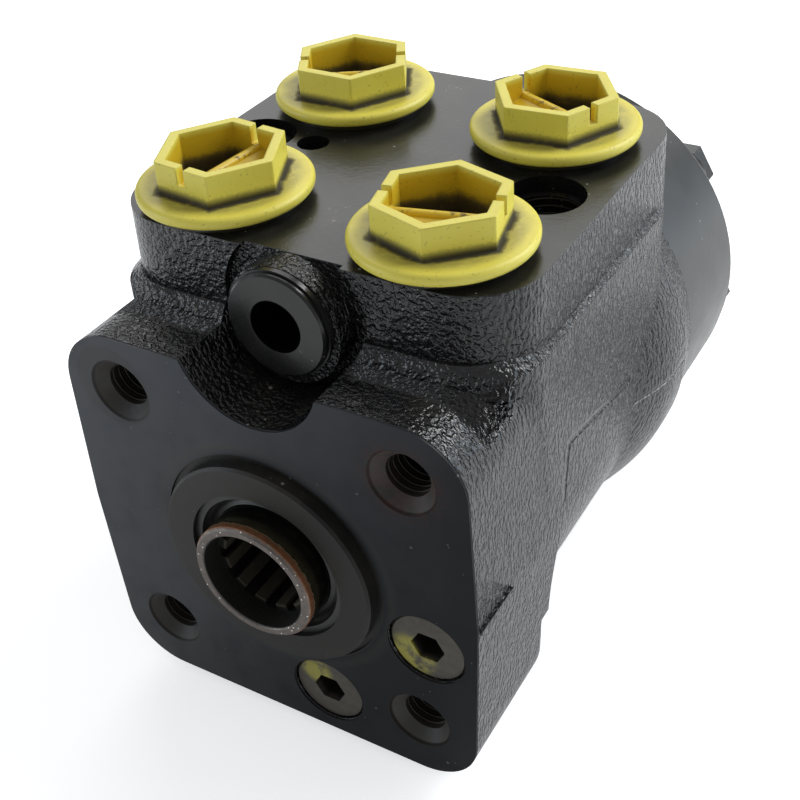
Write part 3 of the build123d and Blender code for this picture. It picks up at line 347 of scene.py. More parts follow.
ledge = board.math("MULTIPLY", board.span(z, 0.0284, 0.0366, 0.0006), board.rise(y, 0.020, 0.026))
ledge = board.math("MULTIPLY", ledge, board.rise(side, 0.0370, 0.0388))
eased = turn_normal(own, wall, ledge)
root = board.math("MULTIPLY", board.span(z, 0.0338, 0.0415, 0.0016), board.span(y, 0.0088, 0.0190, 0.0014))
root = board.math("MULTIPLY", root, board.rise(side, 0.012, 0.0165))
lift = board.rise(board.math("SUBTRACT", z, board.math("MULTIPLY", y, 0.7)), 0.0242, 0.0320)
slope = board.add("ShaderNodeCombineXYZ", {
    "X": 0.0, "Y": board.between(lift, -0.15, -1.0), "Z": board.between(lift, 1.0, 0.10),
}).outputs[0]
eased = turn_normal(eased, slope, board.math("MULTIPLY", root, board.rise(face_y, 0.3, -0.1)))

print("ledges eased:", len(housing_paint.node_tree.nodes), "nodes")

# %% [markdown]
# The two halves of the mould leave a parting line along the collar, and a core print leaves a
# stepped line on the side wall. Both are fractions of a millimetre high, so they go into the same
# bump as the grain. Modelled ridges would have to follow the curved collar, and a height costs less.

# %% Skin, parting line and the step of a core print
side_wall = board.rise(board.math("ABSOLUTE", face_x), 0.5, 0.85)
drawn = board.stretch(vector, (1.0, 1.1, 0.6))
round_skin = use_group(board, cast_skin, Vector=vector, Grain_Scale=1150.0)
drawn_skin = use_group(board, cast_skin, Vector=drawn, Grain_Scale=1250.0)
skin = board.add("ShaderNodeMix", data_type="FLOAT")
board.plug(skin.inputs[0], side_wall)
board.plug(skin.inputs[2], round_skin["Height"])
board.plug(skin.inputs[3], drawn_skin["Height"])
skin_height = skin.outputs[0]
parting = board.math("ABSOLUTE", board.math("SUBTRACT", z, 0.0008))
parting_line = board.math("MULTIPLY", board.rise(parting, 0.0006, 0.0001), board.rise(y, 0.066, 0.070))
parting_line = board.math("MULTIPLY", parting_line, board.rise(side, 0.036, 0.038))


def crease(start, end, width=0.0006):
    """1 on a straight line across the side wall, between two (y, z) points."""
    along = Vector(end) - Vector(start)
    run = along.length
    along.normalize()
    dy = board.math("SUBTRACT", y, start[0])
    dz = board.math("SUBTRACT", z, start[1])
    travel = board.math("MULTIPLY", dy, along[0])
    travel = board.math("ADD", travel, board.math("MULTIPLY", dz, along[1]))
    offset = board.math("MULTIPLY", dy, along[1])
    offset = board.math("SUBTRACT", offset, board.math("MULTIPLY", dz, along[0]))
    near = board.rise(board.math("ABSOLUTE", offset), width * 1.6, width * 0.4)
    return board.math("MULTIPLY", near, board.span(travel, 0.0, run, 0.0006))


core_step = crease((0.068, 0.009), (0.050, 0.0124))
for start, end in (
    ((0.050, 0.0124), (0.038, 0.0147)),
    ((0.038, 0.0147), (0.0363, 0.0066)),
    ((0.0363, 0.0066), (0.0356, 0.0022)),
):
    core_step = board.math("MAXIMUM", core_step, crease(start, end))
core_step = board.math("MULTIPLY", core_step, board.rise(x, 0.036, 0.038))
lines = board.math("MAXIMUM", core_step, parting_line)
rough_height = board.math("SUBTRACT", skin_height, board.math("MULTIPLY", lines, 3.6))
orange_peel = board.math("MULTIPLY", board.noise(vector, 0.0013, detail=2.5, roughness=0.6), 0.17)
height = board.add("ShaderNodeMix", data_type="FLOAT")
board.plug(height.inputs[0], milled)
board.plug(height.inputs[2], rough_height)
board.plug(height.inputs[3], board.math("MULTIPLY", orange_peel, board.between(mount_face, 1.0, 0.25)))
rough_normal = board.add("ShaderNodeBump", {
    "Height": height.outputs[0], "Distance": 0.0006, "Normal": eased,
    "Strength": board.between(side_wall, 0.50, 0.80),
})
board.plug(shader.inputs["Normal"], rough_normal.outputs[0])
print("skin:", len(housing_paint.node_tree.nodes), "nodes")

# %% [markdown]
# The black of the paint isn't even. Dust lies on what faces up, a painted bluish sheen lightens the
# mounting face towards its upper left and fades out to the lower right, where the face also shines
# less, and the screw holes hold dirt and a little rust. Each is a mask over the paint's colour,
# because one material with masks keeps the borders soft, where split faces would cut them.

# %% Colour and shine of the housing paint
dust = use_group(board, shelf_dust, Vector=vector, Amount=0.9)
up = board.rise(face_z, 0.2, 0.9)
front_tone = board.mix(board.noise(vector, 0.02, detail=4.0), (0.009, 0.010, 0.012), (0.016, 0.016, 0.017))
skin_tone = board.mix(round_skin["Pits"], (0.008, 0.008, 0.009), (0.003, 0.003, 0.003))
# Painted sheen: the mounting face is coloured lighter and bluer, and shines more, towards its upper left.
painted_sheen = board.math("SUBTRACT", board.math("MULTIPLY", z, 0.7), x)
painted_sheen = board.rise(board.math("MULTIPLY_ADD", board.noise(vector, 0.03), 0.02, painted_sheen), -0.035, 0.075)
front_tone = board.mix(painted_sheen, front_tone, (0.026, 0.031, 0.040))
tone = board.mix(mount_face, skin_tone, front_tone)
tone = board.mix(port_face, tone, (0.012, 0.012, 0.010))
tone = board.mix(spigot, tone, board.mix(dust["Haze"], (0.017, 0.016, 0.015), (0.026, 0.024, 0.021)))
settled = board.math("MULTIPLY", dust["Haze"], board.math("MULTIPLY", up, 0.16))
tone = board.mix(settled, tone, (0.11, 0.10, 0.08))
specks = board.math("MULTIPLY", dust["Specks"], board.between(up, 0.35, 1.0))
tone = board.mix(specks, tone, (0.26, 0.25, 0.22))

# dirty metal in every screw hole, rust at the right upper one, a stain at the left upper one
in_hole = board.rise(hole_r, hole_mouth + 0.0001, hole_mouth - 0.0003)
tone = board.mix(in_hole, tone, (0.017, 0.014, 0.011))
tone = board.mix(board.rise(from_shaft, 0.0163, 0.0161), tone, (0.008, 0.008, 0.008))
rusty = board.radius(x, z, hole_pitch, hole_pitch)
rust_cloud = board.noise(vector, 0.0022, detail=4.0, roughness=0.65)
rust = board.math("MULTIPLY", board.rise(rusty, 0.0098, 0.0052), board.rise(rust_cloud, 0.36, 0.60))
rust = board.math("MULTIPLY", rust, board.rise(y, 0.006, 0.003))
tone = board.mix(board.math("MULTIPLY", rust, 0.8), tone, (0.038, 0.017, 0.014))
stain = board.span(board.radius(x, z, -0.0305, 0.0300), 0.0, 0.0084, 0.0004)
stain = board.math("MULTIPLY", stain, mount_face)
tone = board.mix(board.math("MULTIPLY", stain, 0.45), tone, (0.010, 0.009, 0.008))
halo = board.span(from_shaft, 0.0243, 0.0262, 0.0009)
halo = board.math("MULTIPLY", halo, mount_face)
tone = board.mix(board.math("MULTIPLY", halo, 0.35), tone, (0.040, 0.038, 0.034))
board.plug(shader.inputs["Base Color"], tone)


def blend_values(amount, low, high):
    """Plain number that goes from one value to another with an amount."""
    node = board.add("ShaderNodeMix", data_type="FLOAT")
    board.plug(node.inputs[0], amount)
    board.plug(node.inputs[2], low)
    board.plug(node.inputs[3], high)
    return node.outputs[0]


satin = board.math("MAXIMUM", mount_face, spigot)
cast_rough = board.between(round_skin["Pits"], 0.17, 0.30)
face_rough = board.between(dust["Haze"], 0.38, 0.55)
rough = blend_values(satin, cast_rough, face_rough)
rough = blend_values(port_face, rough, 0.27)
rough = board.math("MAXIMUM", rough, board.math("MULTIPLY", in_hole, 0.6))
rough = board.math("MAXIMUM", rough, board.math("MULTIPLY", dust["Specks"], 0.8))
board.plug(shader.inputs["Roughness"], rough)
sheen_specular = board.math("MAXIMUM", board.between(painted_sheen, 0.06, 0.36), board.math("MULTIPLY", spigot, 0.17))
board.plug(shader.inputs["Specular IOR Level"], blend_values(satin, 0.55, sheen_specular))
dress(housing_paint, "housing")
print("housing paint:", len(housing_paint.node_tree.nodes), "nodes")

# %% [markdown]
# ## Smooth painted pieces
#
# The gear case behind the collar is turned and ground, then painted with the rest: no grain, only
# the faint waves of the spray and a little dust. The screws and washers have the same paint with
# a stronger shine. The relief plug has it too, and its round hole is painted black without any
# reflection, as painted shade for the depth that no light reaches.


# %% Material: smooth paint
def smooth_paint(name, tone, roughness, wave, dust_amount):
    """Sprayed paint over a machined surface."""
    material, shader, board = material_board(name, roughness=roughness)
    vector, x, y, z = board.place()
    dust = use_group(board, shelf_dust, Vector=vector, Amount=dust_amount)
    shade = board.mix(board.noise(vector, 0.012, detail=3.0), tone, [c * 1.7 for c in tone])
    shade = board.mix(board.math("MULTIPLY", dust["Haze"], 0.10), shade, (0.10, 0.10, 0.085))
    shade = board.mix(dust["Specks"], shade, (0.30, 0.29, 0.26))
    board.plug(shader.inputs["Base Color"], shade)
    blur = board.between(board.noise(vector, 0.006, detail=2.0), roughness * 0.8, roughness * 1.3)
    dull_specks = board.math("MULTIPLY", dust["Specks"], 0.8)
    board.plug(shader.inputs["Roughness"], board.math("MAXIMUM", blur, dull_specks))
    ripple = board.noise(vector, wave, detail=1.5)
    board.plug(shader.inputs["Normal"], board.bump(ripple, 0.00003, 0.6))
    return material


case_paint = smooth_paint("case paint", (0.016, 0.016, 0.015), 0.30, 0.0022, 0.5)
screw_paint = smooth_paint("screw paint", (0.010, 0.010, 0.010), 0.22, 0.0012, 0.3)
dress(case_paint, "distributor_plate", "gear_ring", "end_cover")
dress(screw_paint, "cover_screws", "pinned_screw", "screw_washers", "relief_seal")

plug_paint = smooth_paint("relief plug paint", (0.006, 0.006, 0.006), 0.24, 0.0014, 0.4)
plug_shader = plug_paint.node_tree.nodes["Principled BSDF"]
board = Board(plug_paint.node_tree)
vector, x, y, z = board.place()
# Painted shade: the plug's socket is coloured black and given no reflection, as if the hole lay in shade.
hole = board.rise(board.radius(x, z, 0.0, RELIEF_HEIGHT), 0.0052, 0.0050)
sprayed = plug_shader.inputs["Base Color"].links[0].from_socket
board.plug(plug_shader.inputs["Base Color"], board.mix(hole, sprayed, (0.001, 0.001, 0.001)))
board.plug(plug_shader.inputs["Specular IOR Level"], board.between(hole, 0.5, 0.0))
dress(plug_paint, "relief_plug")
print("smooth paints:", case_paint.name, screw_paint.name, plug_paint.name)

# %% [markdown]
# ## Black rubber
#
# Seals are moulded nitrile rubber: nearly black, dull, and greasy where oil has wetted them.

# %% Material: seal rubber
seal_rubber, shader, board = material_board("seal rubber", roughness=0.45)
vector, x, y, z = board.place()
oily = board.rise(board.noise(vector, 0.004, detail=3.0), 0.45, 0.6)
board.plug(shader.inputs["Base Color"], board.mix(oily, (0.014, 0.014, 0.014), (0.006, 0.006, 0.006)))
board.plug(shader.inputs["Roughness"], board.between(oily, 0.50, 0.28))
board.plug(shader.inputs["Normal"], board.bump(board.noise(vector, 0.0004, detail=2.0), 0.00002, 0.6))
dress(seal_rubber, "shaft_seal", "o_ring_front", "o_ring_middle", "o_ring_rear")

# %% [markdown]
# The dust seal in the mounting face is rubber too, and its two lips carry a pale painted highlight,
# broken by noise, where the light catches their edges. A lip is a ring around the shaft, so a narrow
# band of radius finds it.

# %% Material: dust seal with painted highlights on its two lips
lip_rubber, shader, board = material_board("dust seal rubber", roughness=0.42)
vector, x, y, z = board.place()
from_axis = board.radius(x, z)
outer_lip = board.span(from_axis, 0.01425, 0.01450, 0.0001)
inner_lip = board.span(from_axis, 0.01305, 0.01325, 0.0001)
lips = board.math("MAXIMUM", outer_lip, inner_lip)
# Painted highlight: a pale line along each lip, broken by noise.
wear_and_lip_highlight = board.math("MULTIPLY", lips, board.rise(board.noise(vector, 0.003, detail=2.0), 0.35, 0.6))
board.plug(shader.inputs["Base Color"], board.mix(wear_and_lip_highlight, (0.009, 0.009, 0.009), (0.075, 0.072, 0.068)))
dress(lip_rubber, "dust_seal")
print("rubber:", seal_rubber.name, lip_rubber.name)

# %% [markdown]
# ## Bare steel
#
# The valve, gears and pins are ground steel. Grinding leaves lines around the axis, so the noise
# is squeezed along Y and spun around it: the pattern reads the distance along the shaft and the
# radius, in place of X and Z.


# %% Material: ground steel
def ground_steel(name, tone, roughness, line_depth):
    """Bright steel with fine turning lines around the shaft axis."""
    material, shader, board = material_board(name, roughness=roughness, metallic=1.0)
    vector, x, y, z = board.place()
    around = board.radius(x, z)
    spun = board.add("ShaderNodeCombineXYZ", {"X": around, "Y": y, "Z": 0.0}).outputs[0]
    turning = board.noise(board.stretch(spun, (5000.0, 5000.0, 0.0)), 1.0, detail=2.0)
    smear = board.noise(vector, 0.005, detail=3.0)
    board.plug(shader.inputs["Base Color"], board.mix(smear, tone, [c * 0.72 for c in tone]))
    board.plug(shader.inputs["Roughness"], board.between(smear, roughness * 0.75, roughness * 1.4))
    board.plug(shader.inputs["Normal"], board.bump(turning, line_depth, 0.5))
    return material


valve_steel = ground_steel("valve steel", (0.40, 0.39, 0.37), 0.26, 0.00001)
bearing_steel = ground_steel("bearing steel", (0.52, 0.52, 0.52), 0.14, 0.000004)
spring_steel = ground_steel("spring steel", (0.26, 0.25, 0.25), 0.32, 0.000008)
dress(
    valve_steel, "sleeve", "centring_ring", "cardan_shaft", "gear_rotor", "spacer_disc",
    "suction_pins", "check_bushing", "cross_pin",
)
dress(
    bearing_steel, "bearing_outer_race", "bearing_inner_race", "bearing_needles", "relief_poppet",
    "relief_seat", "shock_ball_right", "shock_ball_lower", "suction_ball_left", "suction_ball_right",
    "check_ball",
)
dress(
    spring_steel, "centring_springs", "relief_spring", "shock_springs", "bearing_cage", "rolled_pin",
    "shock_seals",
)
print("steels:", valve_steel.name, bearing_steel.name, spring_steel.name)

# %% [markdown]
# ## Spool nose
#
# The spool's nose stands out of the housing and shows how the unit has been kept: a dull grey
# rim with bright nicks, a ring of rust just behind its edge where fingers don't rub, and a
# polished neck painted lighter and straw-tinted at the front as a painted highlight, fading to
# grey towards the seal. The finish changes only along Y, so masks on Y place each band, and a
# noise roughens their borders.

# %% Material: spool nose
spool_finish, shader, board = material_board("spool finish", roughness=0.35, metallic=1.0)
vector, x, y, z = board.place()
from_axis = board.radius(x, z)
wander = board.noise(vector, 0.0016, detail=4.0, roughness=0.6)
ragged_y = board.math("MULTIPLY_ADD", board.math("SUBTRACT", wander, 0.5), 0.0012, y)
outside = board.rise(from_axis, 0.0117, 0.0121)
bore_side = board.rise(from_axis, 0.01075, 0.01045)
rim = board.rise(y, -0.0064, -0.0068)
rust_band = board.math("MULTIPLY", board.span(ragged_y, -0.0067, -0.0053, 0.0002), outside)
# Painted highlight: a straw band across the neck, and the neck coloured lighter towards the front.
straw_highlight = board.math("MULTIPLY", board.span(ragged_y, -0.0058, -0.0036, 0.0006), outside)
neck = board.mix(board.rise(y, -0.0045, -0.001), (0.34, 0.31, 0.25), (0.22, 0.22, 0.21))
tone = board.mix(wander, neck, (0.10, 0.095, 0.085))
tone = board.mix(board.math("MULTIPLY", straw_highlight, 0.8), tone, (0.42, 0.38, 0.22))
rust_tone = board.mix(board.noise(vector, 0.0007, detail=3.0), (0.30, 0.12, 0.045), (0.085, 0.036, 0.020))
tone = board.mix(rust_band, tone, rust_tone)
rim_tone = board.mix(board.noise(vector, 0.0009, detail=4.0), (0.20, 0.18, 0.165), (0.085, 0.072, 0.066))
nicks = board.rise(board.cells(vector, 0.0011), 0.16, 0.10)
rim_tone = board.mix(nicks, rim_tone, (0.85, 0.80, 0.76))
tone = board.mix(rim, tone, rim_tone)
# Painted shade in the bore: the gaps between the spline teeth are coloured near black, and the tooth tips
# olive grey.
teeth = board.rise(from_axis, 0.0094, 0.0091)
tooth_tone = board.mix(wander, (0.090, 0.080, 0.058), (0.035, 0.030, 0.022))
tone = board.mix(bore_side, tone, board.mix(teeth, (0.006, 0.006, 0.005), tooth_tone))
board.plug(shader.inputs["Base Color"], tone)
dull = board.math("MAXIMUM", rust_band, bore_side)
board.plug(shader.inputs["Metallic"], board.between(dull, 1.0, 0.45))
rough = board.between(board.math("MAXIMUM", dull, board.math("MULTIPLY", rim, 0.6)), 0.24, 0.62)
board.plug(shader.inputs["Roughness"], rough)
turning = board.noise(board.stretch(vector, (0.0, 4200.0, 0.0)), 1.0, detail=2.0)
wear_and_lip_highlight = board.math("MULTIPLY_ADD", turning, 0.3, board.noise(vector, 0.0006, detail=3.0))
board.plug(shader.inputs["Normal"], board.bump(wear_and_lip_highlight, 0.00005, 0.8))
dress(spool_finish, "spool")
print("spool finish:", len(spool_finish.node_tree.nodes), "nodes")

# %% [markdown]
# ## Plated plugs with an inspector's paint
#
# The two plugs in the mounting face are plated steel gone dull. A dab of yellow paint across each
# shows that it was set at the works. The dab is a soft patch beside the socket, thinned by noise.

# %% Material: plug plating
plug_plating, shader, board = material_board("plug plating", roughness=0.5, metallic=0.6)
vector, x, y, z = board.place()
mottle = board.noise(vector, 0.0014, detail=5.0, roughness=0.7)
tone = board.mix(mottle, (0.095, 0.087, 0.070), (0.038, 0.034, 0.028))
brush = board.noise(vector, 0.003, detail=3.0, roughness=0.6)
right_dab = board.rise(board.radius(x, z, 0.0284, -0.0118), 0.0058, 0.0030)
lower_dab = board.rise(board.radius(x, z, 0.0058, -0.0278), 0.0044, 0.0020)
dab = board.math("MULTIPLY", board.math("MAXIMUM", right_dab, lower_dab), board.rise(brush, 0.30, 0.55))
dab = board.math("MULTIPLY", dab, board.rise(y, 0.0014, 0.0009))
tone = board.mix(board.math("MULTIPLY", dab, 0.85), tone, (0.30, 0.27, 0.03))
# Painted shade: the plating is coloured darker deeper in the socket.
socket = board.rise(y, 0.0014, 0.0024)
tone = board.mix(socket, tone, (0.020, 0.018, 0.015))
board.plug(shader.inputs["Base Color"], tone)
board.plug(shader.inputs["Metallic"], board.between(dab, 0.55, 0.0))
board.plug(shader.inputs["Roughness"], board.between(mottle, 0.38, 0.62))
board.plug(shader.inputs["Normal"], board.bump(mottle, 0.00004, 0.6))
dress(plug_plating, "shock_plugs")
print("plugs:", plug_plating.name)

# %% [markdown]
# ## Dirty yellow caps
#
# Four soft plastic caps keep dirt out of the ports until the hoses go on. Dirt gathers where the
# hexagon meets the disc and in the bottom of the cup, and handling keeps the edges clean. The
# grime follows the shape, so one group turns each cap's coordinates to its own axis and measures
# how far a point lies from the hexagon's walls.

# %% Group: cap grime
cap_grime, board, given, out = group_tree(
    "cap grime",
    [
        ("Vector", "NodeSocketVector", None),
        ("Centre", "NodeSocketVector", None),
        ("Turn", "NodeSocketFloat", 0.0),
    ],
    [("Grime", "NodeSocketFloat"), ("Smudge", "NodeSocketFloat"), ("Depth", "NodeSocketFloat")],
)
moved = board.add("ShaderNodeVectorMath", operation="SUBTRACT")
board.plug(moved.inputs[0], given["Vector"])
board.plug(moved.inputs[1], given["Centre"])
turned = board.add("ShaderNodeVectorRotate", rotation_type="Z_AXIS")
board.plug(turned.inputs["Vector"], moved.outputs[0])
board.plug(turned.inputs["Angle"], given["Turn"])
parts = board.add("ShaderNodeSeparateXYZ", {"Vector": turned.outputs[0]})
local_x, local_y, local_z = parts.outputs[0], parts.outputs[1], parts.outputs[2]
reach = board.math("ABSOLUTE", local_x)
for angle in (60, 120):
    one = board.math("MULTIPLY", local_x, cos(radians(angle)))
    two = board.math("MULTIPLY_ADD", local_y, sin(radians(angle)), one)
    reach = board.math("MAXIMUM", reach, board.math("ABSOLUTE", two))
hex_flat = 0.01057
wall_gap = board.math("SUBTRACT", reach, hex_flat)
spots = board.noise(moved.outputs[0], 0.0005, detail=2.0, roughness=0.7)
cloud = board.noise(moved.outputs[0], 0.0045, detail=3.0, roughness=0.6)
uneven = board.math("MULTIPLY_ADD", board.math("SUBTRACT", cloud, 0.5), 0.003, wall_gap)
disc_level = board.math("MULTIPLY", board.rise(local_z, 0.0034, 0.0037), board.rise(local_z, 0.0052, 0.0040))
on_disc = board.radius(local_x, local_y)
base_ring = board.math("MULTIPLY", board.rise(uneven, 0.0017, 0.0002), board.rise(local_z, 0.0066, 0.0040))
base_ring = board.math("MULTIPLY", base_ring, board.rise(wall_gap, -0.0010, -0.0002))
outer = board.math("MULTIPLY", base_ring, board.rise(board.math("ADD", base_ring, spots), 0.55, 1.05))
inside = board.rise(wall_gap, -0.0012, -0.0018)
cup_low = board.math("MULTIPLY_ADD", board.math("SUBTRACT", cloud, 0.5), 0.0035, local_z)
cup = board.math("MULTIPLY", inside, board.rise(cup_low, 0.0070, 0.0030))
cup = board.math("MULTIPLY", cup, board.rise(board.math("ADD", cup, spots), 0.50, 1.10))
clean_side = board.rise(local_y, 0.0012, -0.0004)
cup = board.math("MULTIPLY", cup, board.between(clean_side, 1.0, 0.30))
board.plug(out["Grime"], board.math("MAXIMUM", outer, cup))
disc_edge = board.math("MULTIPLY_ADD", board.math("SUBTRACT", cloud, 0.5), 0.0022, on_disc)
smear = board.math("MULTIPLY", disc_level, board.rise(disc_edge, 0.0152, 0.0128))
patchy = board.between(board.rise(cloud, 0.34, 0.58), 0.55, 1.0)
board.plug(out["Smudge"], board.math("MULTIPLY", smear, patchy))
in_cup = board.rise(wall_gap, -0.0004, -0.0014)
board.plug(out["Depth"], board.math("MULTIPLY", in_cup, board.rise(local_z, 0.0098, 0.0085)))
print("group:", cap_grime.name, len(cap_grime.nodes), "nodes")

# %% [markdown]
# Moulded edges are never sharp. A Bevel node rounds them for the light alone, which leaves the cap's
# solid as it is, and deep in the cup the plastic turns orange, because light bounces there more often.


# %% Material: one plastic for each cap
def cap_plastic(name, centre_x, centre_y, turn):
    """Soft yellow plastic with the dirt of its own cap."""
    material, shader, board = material_board(name, roughness=0.42)
    vector, x, y, z = board.place()
    centre = (centre_x, centre_y, PORT_FACE)
    marks = use_group(board, cap_grime, Vector=vector, Centre=centre, Turn=-radians(turn))
    tint = board.mix(board.noise(vector, 0.006, detail=2.0), (0.78, 0.70, 0.115), (0.72, 0.61, 0.075))
    tint = board.mix(marks["Depth"], tint, (0.66, 0.45, 0.018))
    tint = board.mix(board.math("MULTIPLY", marks["Smudge"], 0.52), tint, (0.105, 0.084, 0.050))
    tint = board.mix(board.math("MULTIPLY", marks["Grime"], 0.95), tint, (0.022, 0.016, 0.009))
    freckle = board.rise(board.noise(vector, 0.0006, detail=2.0), 0.64, 0.72)
    tint = board.mix(board.math("MULTIPLY", freckle, 0.40), tint, (0.17, 0.12, 0.02))
    # Painted shadow and dirt: the collar under the disc is coloured near black.
    shadow_and_dirt_under_disc = board.rise(z, PORT_FACE + 0.0019, PORT_FACE + 0.0014)
    tint = board.mix(shadow_and_dirt_under_disc, tint, (0.020, 0.017, 0.008))
    board.plug(shader.inputs["Base Color"], tint)
    board.plug(shader.inputs["Roughness"], board.between(marks["Grime"], 0.40, 0.75))
    grain = board.noise(vector, 0.0009, detail=2.0)
    rounded = board.add("ShaderNodeBevel", {"Radius": 0.00045}, samples=6).outputs[0]
    bump = board.add("ShaderNodeBump", {
        "Height": grain, "Distance": 0.00004, "Strength": 0.6, "Normal": rounded,
    })
    board.plug(shader.inputs["Normal"], bump.outputs[0])
    return material


for cap, (cap_x, cap_y, cap_turn) in cap_places.items():
    dress(cap_plastic(cap.replace("_", " "), cap_x, cap_y, cap_turn), cap)
print("caps:", len(cap_places))

# %% [markdown]
# ## Threads in the holes
#
# The solids have plain holes, because a thread is too fine to model there. Here each hole gets
# the ridge of its thread, one helix per hole. The ridge repeats at every hole, so Geometry Nodes
# make one and place copies: a Spiral gives the path, Curve to Mesh sweeps a small triangle along
# it, and Instance on Points sets it in each hole.


# %% Geometry Nodes: shared ends, and a thread for each hole
def geometry_tree(name, sockets):
    """An empty tree with named inputs, and its board and the start's outputs."""
    tree = bpy.data.node_groups.new(name, "GeometryNodeTree")
    for socket, kind, value in (("Geometry", "NodeSocketGeometry", None), *sockets):
        made = tree.interface.new_socket(socket, in_out="INPUT", socket_type=kind)
        if value is not None:
            made.default_value = value
    tree.interface.new_socket("Geometry", in_out="OUTPUT", socket_type="NodeSocketGeometry")
    return tree, Board(tree), tree.nodes.new("NodeGroupInput").outputs


def place_copies(tree, board, given, path, profile, rotation):
    """Sweeps the profile along the path, and ends in plain copies at the points."""
    swept = board.add("GeometryNodeCurveToMesh", {
        "Curve": path.outputs[0], "Profile Curve": profile.outputs[0], "Fill Caps": True,
    })
    copies = board.add("GeometryNodeInstanceOnPoints", {
        "Points": given["Geometry"], "Instance": swept.outputs[0], "Rotation": rotation,
    })
    real = board.add("GeometryNodeRealizeInstances", {"Geometry": copies.outputs[0]})
    finish = board.add("GeometryNodeSetMaterial", {"Geometry": real.outputs[0], "Material": given["Finish"]})
    end = tree.nodes.new("NodeGroupOutput")
    tree.links.new(finish.outputs[0], end.inputs["Geometry"])
    return tree


def thread_tree(name):
    """A tree that sweeps a ridge along a spiral, and copies it to the points of its mesh."""
    tree, board, given = geometry_tree(name, (
        ("Hole Radius", "NodeSocketFloat", 0.004),
        ("Pitch", "NodeSocketFloat", 0.0015),
        ("Turns", "NodeSocketFloat", 8.0),
        ("Ridge", "NodeSocketFloat", 0.0003),
        ("Tilt", "NodeSocketVector", (0.0, 0.0, 0.0)),
        ("Finish", "NodeSocketMaterial", None),
    ))
    rise = board.math("MULTIPLY", given["Pitch"], given["Turns"])
    spiral = board.add("GeometryNodeCurveSpiral", {
        "Resolution": 40, "Rotations": given["Turns"], "Start Radius": given["Hole Radius"],
        "End Radius": given["Hole Radius"], "Height": rise,
    })
    profile = board.add("GeometryNodeCurvePrimitiveCircle", {"Resolution": 3, "Radius": given["Ridge"]})
    return place_copies(tree, board, given, spiral, profile, given["Tilt"])


def grow(name, points, tree, inputs, body="unit", turns=()):
    """Runs a tree on a few points, and leaves its result as a plain mesh that rides on a body."""
    seed_mesh = bpy.data.meshes.new(name + "_points")
    seed_mesh.from_pydata([tuple(p) for p in points], [], [])
    if turns:
        seed_mesh.attributes.new("turn", "FLOAT", "POINT").data.foreach_set("value", turns)
    piece = bpy.data.objects.new(name, seed_mesh)
    bpy.context.scene.collection.objects.link(piece)
    modifier = piece.modifiers.new("make", "NODES")
    modifier.node_group = tree
    for item in tree.interface.items_tree:
        if item.item_type == "SOCKET" and item.in_out == "INPUT" and item.name in inputs:
            modifier[item.identifier] = inputs[item.name]
    bpy.context.view_layer.update()
    graph = bpy.context.evaluated_depsgraph_get()
    result = bpy.data.meshes.new_from_object(piece.evaluated_get(graph))
    piece.modifiers.clear()
    piece.data = result
    result.name = name
    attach(piece, body)
    print(name, len(result.polygons), "faces")
    return piece


thread_steel, shader, board = material_board("thread steel", roughness=0.45, metallic=0.7)
vector, x, y, z = board.place()
oil = board.noise(vector, 0.002, detail=3.0)
board.plug(shader.inputs["Base Color"], board.mix(oil, (0.050, 0.042, 0.032), (0.018, 0.016, 0.014)))
board.plug(shader.inputs["Roughness"], board.between(oil, 0.3, 0.55))
threads = thread_tree("hole threads")
mount_points = [(sx * hole_pitch, 0.0026, sz * hole_pitch) for sx in (-1, 1) for sz in (-1, 1)]
mount_threads = grow("mount_threads", mount_points, threads, {
    "Hole Radius": 4.28 * MM, "Pitch": 1.5 * MM, "Turns": 9.0, "Ridge": 0.34 * MM,
    "Tilt": (-pi / 2, 0.0, 0.0), "Finish": thread_steel,
})
port_thread_top = PORT_FACE - 3.7 * MM
port_points = [(0.0300, 0.0529, port_thread_top), (-0.0320, 0.0537, port_thread_top)]
port_threads = grow("port_threads", port_points, threads, {
    "Hole Radius": 6.6 * MM, "Pitch": 1.5 * MM, "Turns": 6.0, "Ridge": 0.34 * MM,
    "Tilt": (pi, 0.0, 0.0), "Finish": thread_steel,
})

# %% [markdown]
# ## A rib across each cap
#
# The ramp in each cup ends in a rounded rib that runs from notch to notch and stiffens the cap. It
# is the same bar four times, each turned as its cap was screwed in. So the points carry a turn of
# their own, and the tree reads it by name: one tree then serves caps at any angle.


# %% Geometry Nodes: the ribs
def rib_tree(name):
    """A tree that sweeps a round bar along X, and turns one copy for each point."""
    tree, board, given = geometry_tree(name, (
        ("Half Length", "NodeSocketFloat", 0.009),
        ("Bar Radius", "NodeSocketFloat", 0.00075),
        ("Finish", "NodeSocketMaterial", None),
    ))
    start = board.add("ShaderNodeCombineXYZ", {"X": board.math("MULTIPLY", given["Half Length"], -1.0)})
    stop = board.add("ShaderNodeCombineXYZ", {"X": given["Half Length"]})
    line = board.add("GeometryNodeCurvePrimitiveLine", {"Start": start.outputs[0], "End": stop.outputs[0]})
    profile = board.add("GeometryNodeCurvePrimitiveCircle", {"Resolution": 20, "Radius": given["Bar Radius"]})
    turn = board.add("GeometryNodeInputNamedAttribute", {"Name": "turn"}, data_type="FLOAT")
    tilt = board.add("ShaderNodeCombineXYZ", {"Z": turn.outputs[0]})
    return place_copies(tree, board, given, line, profile, tilt.outputs[0])


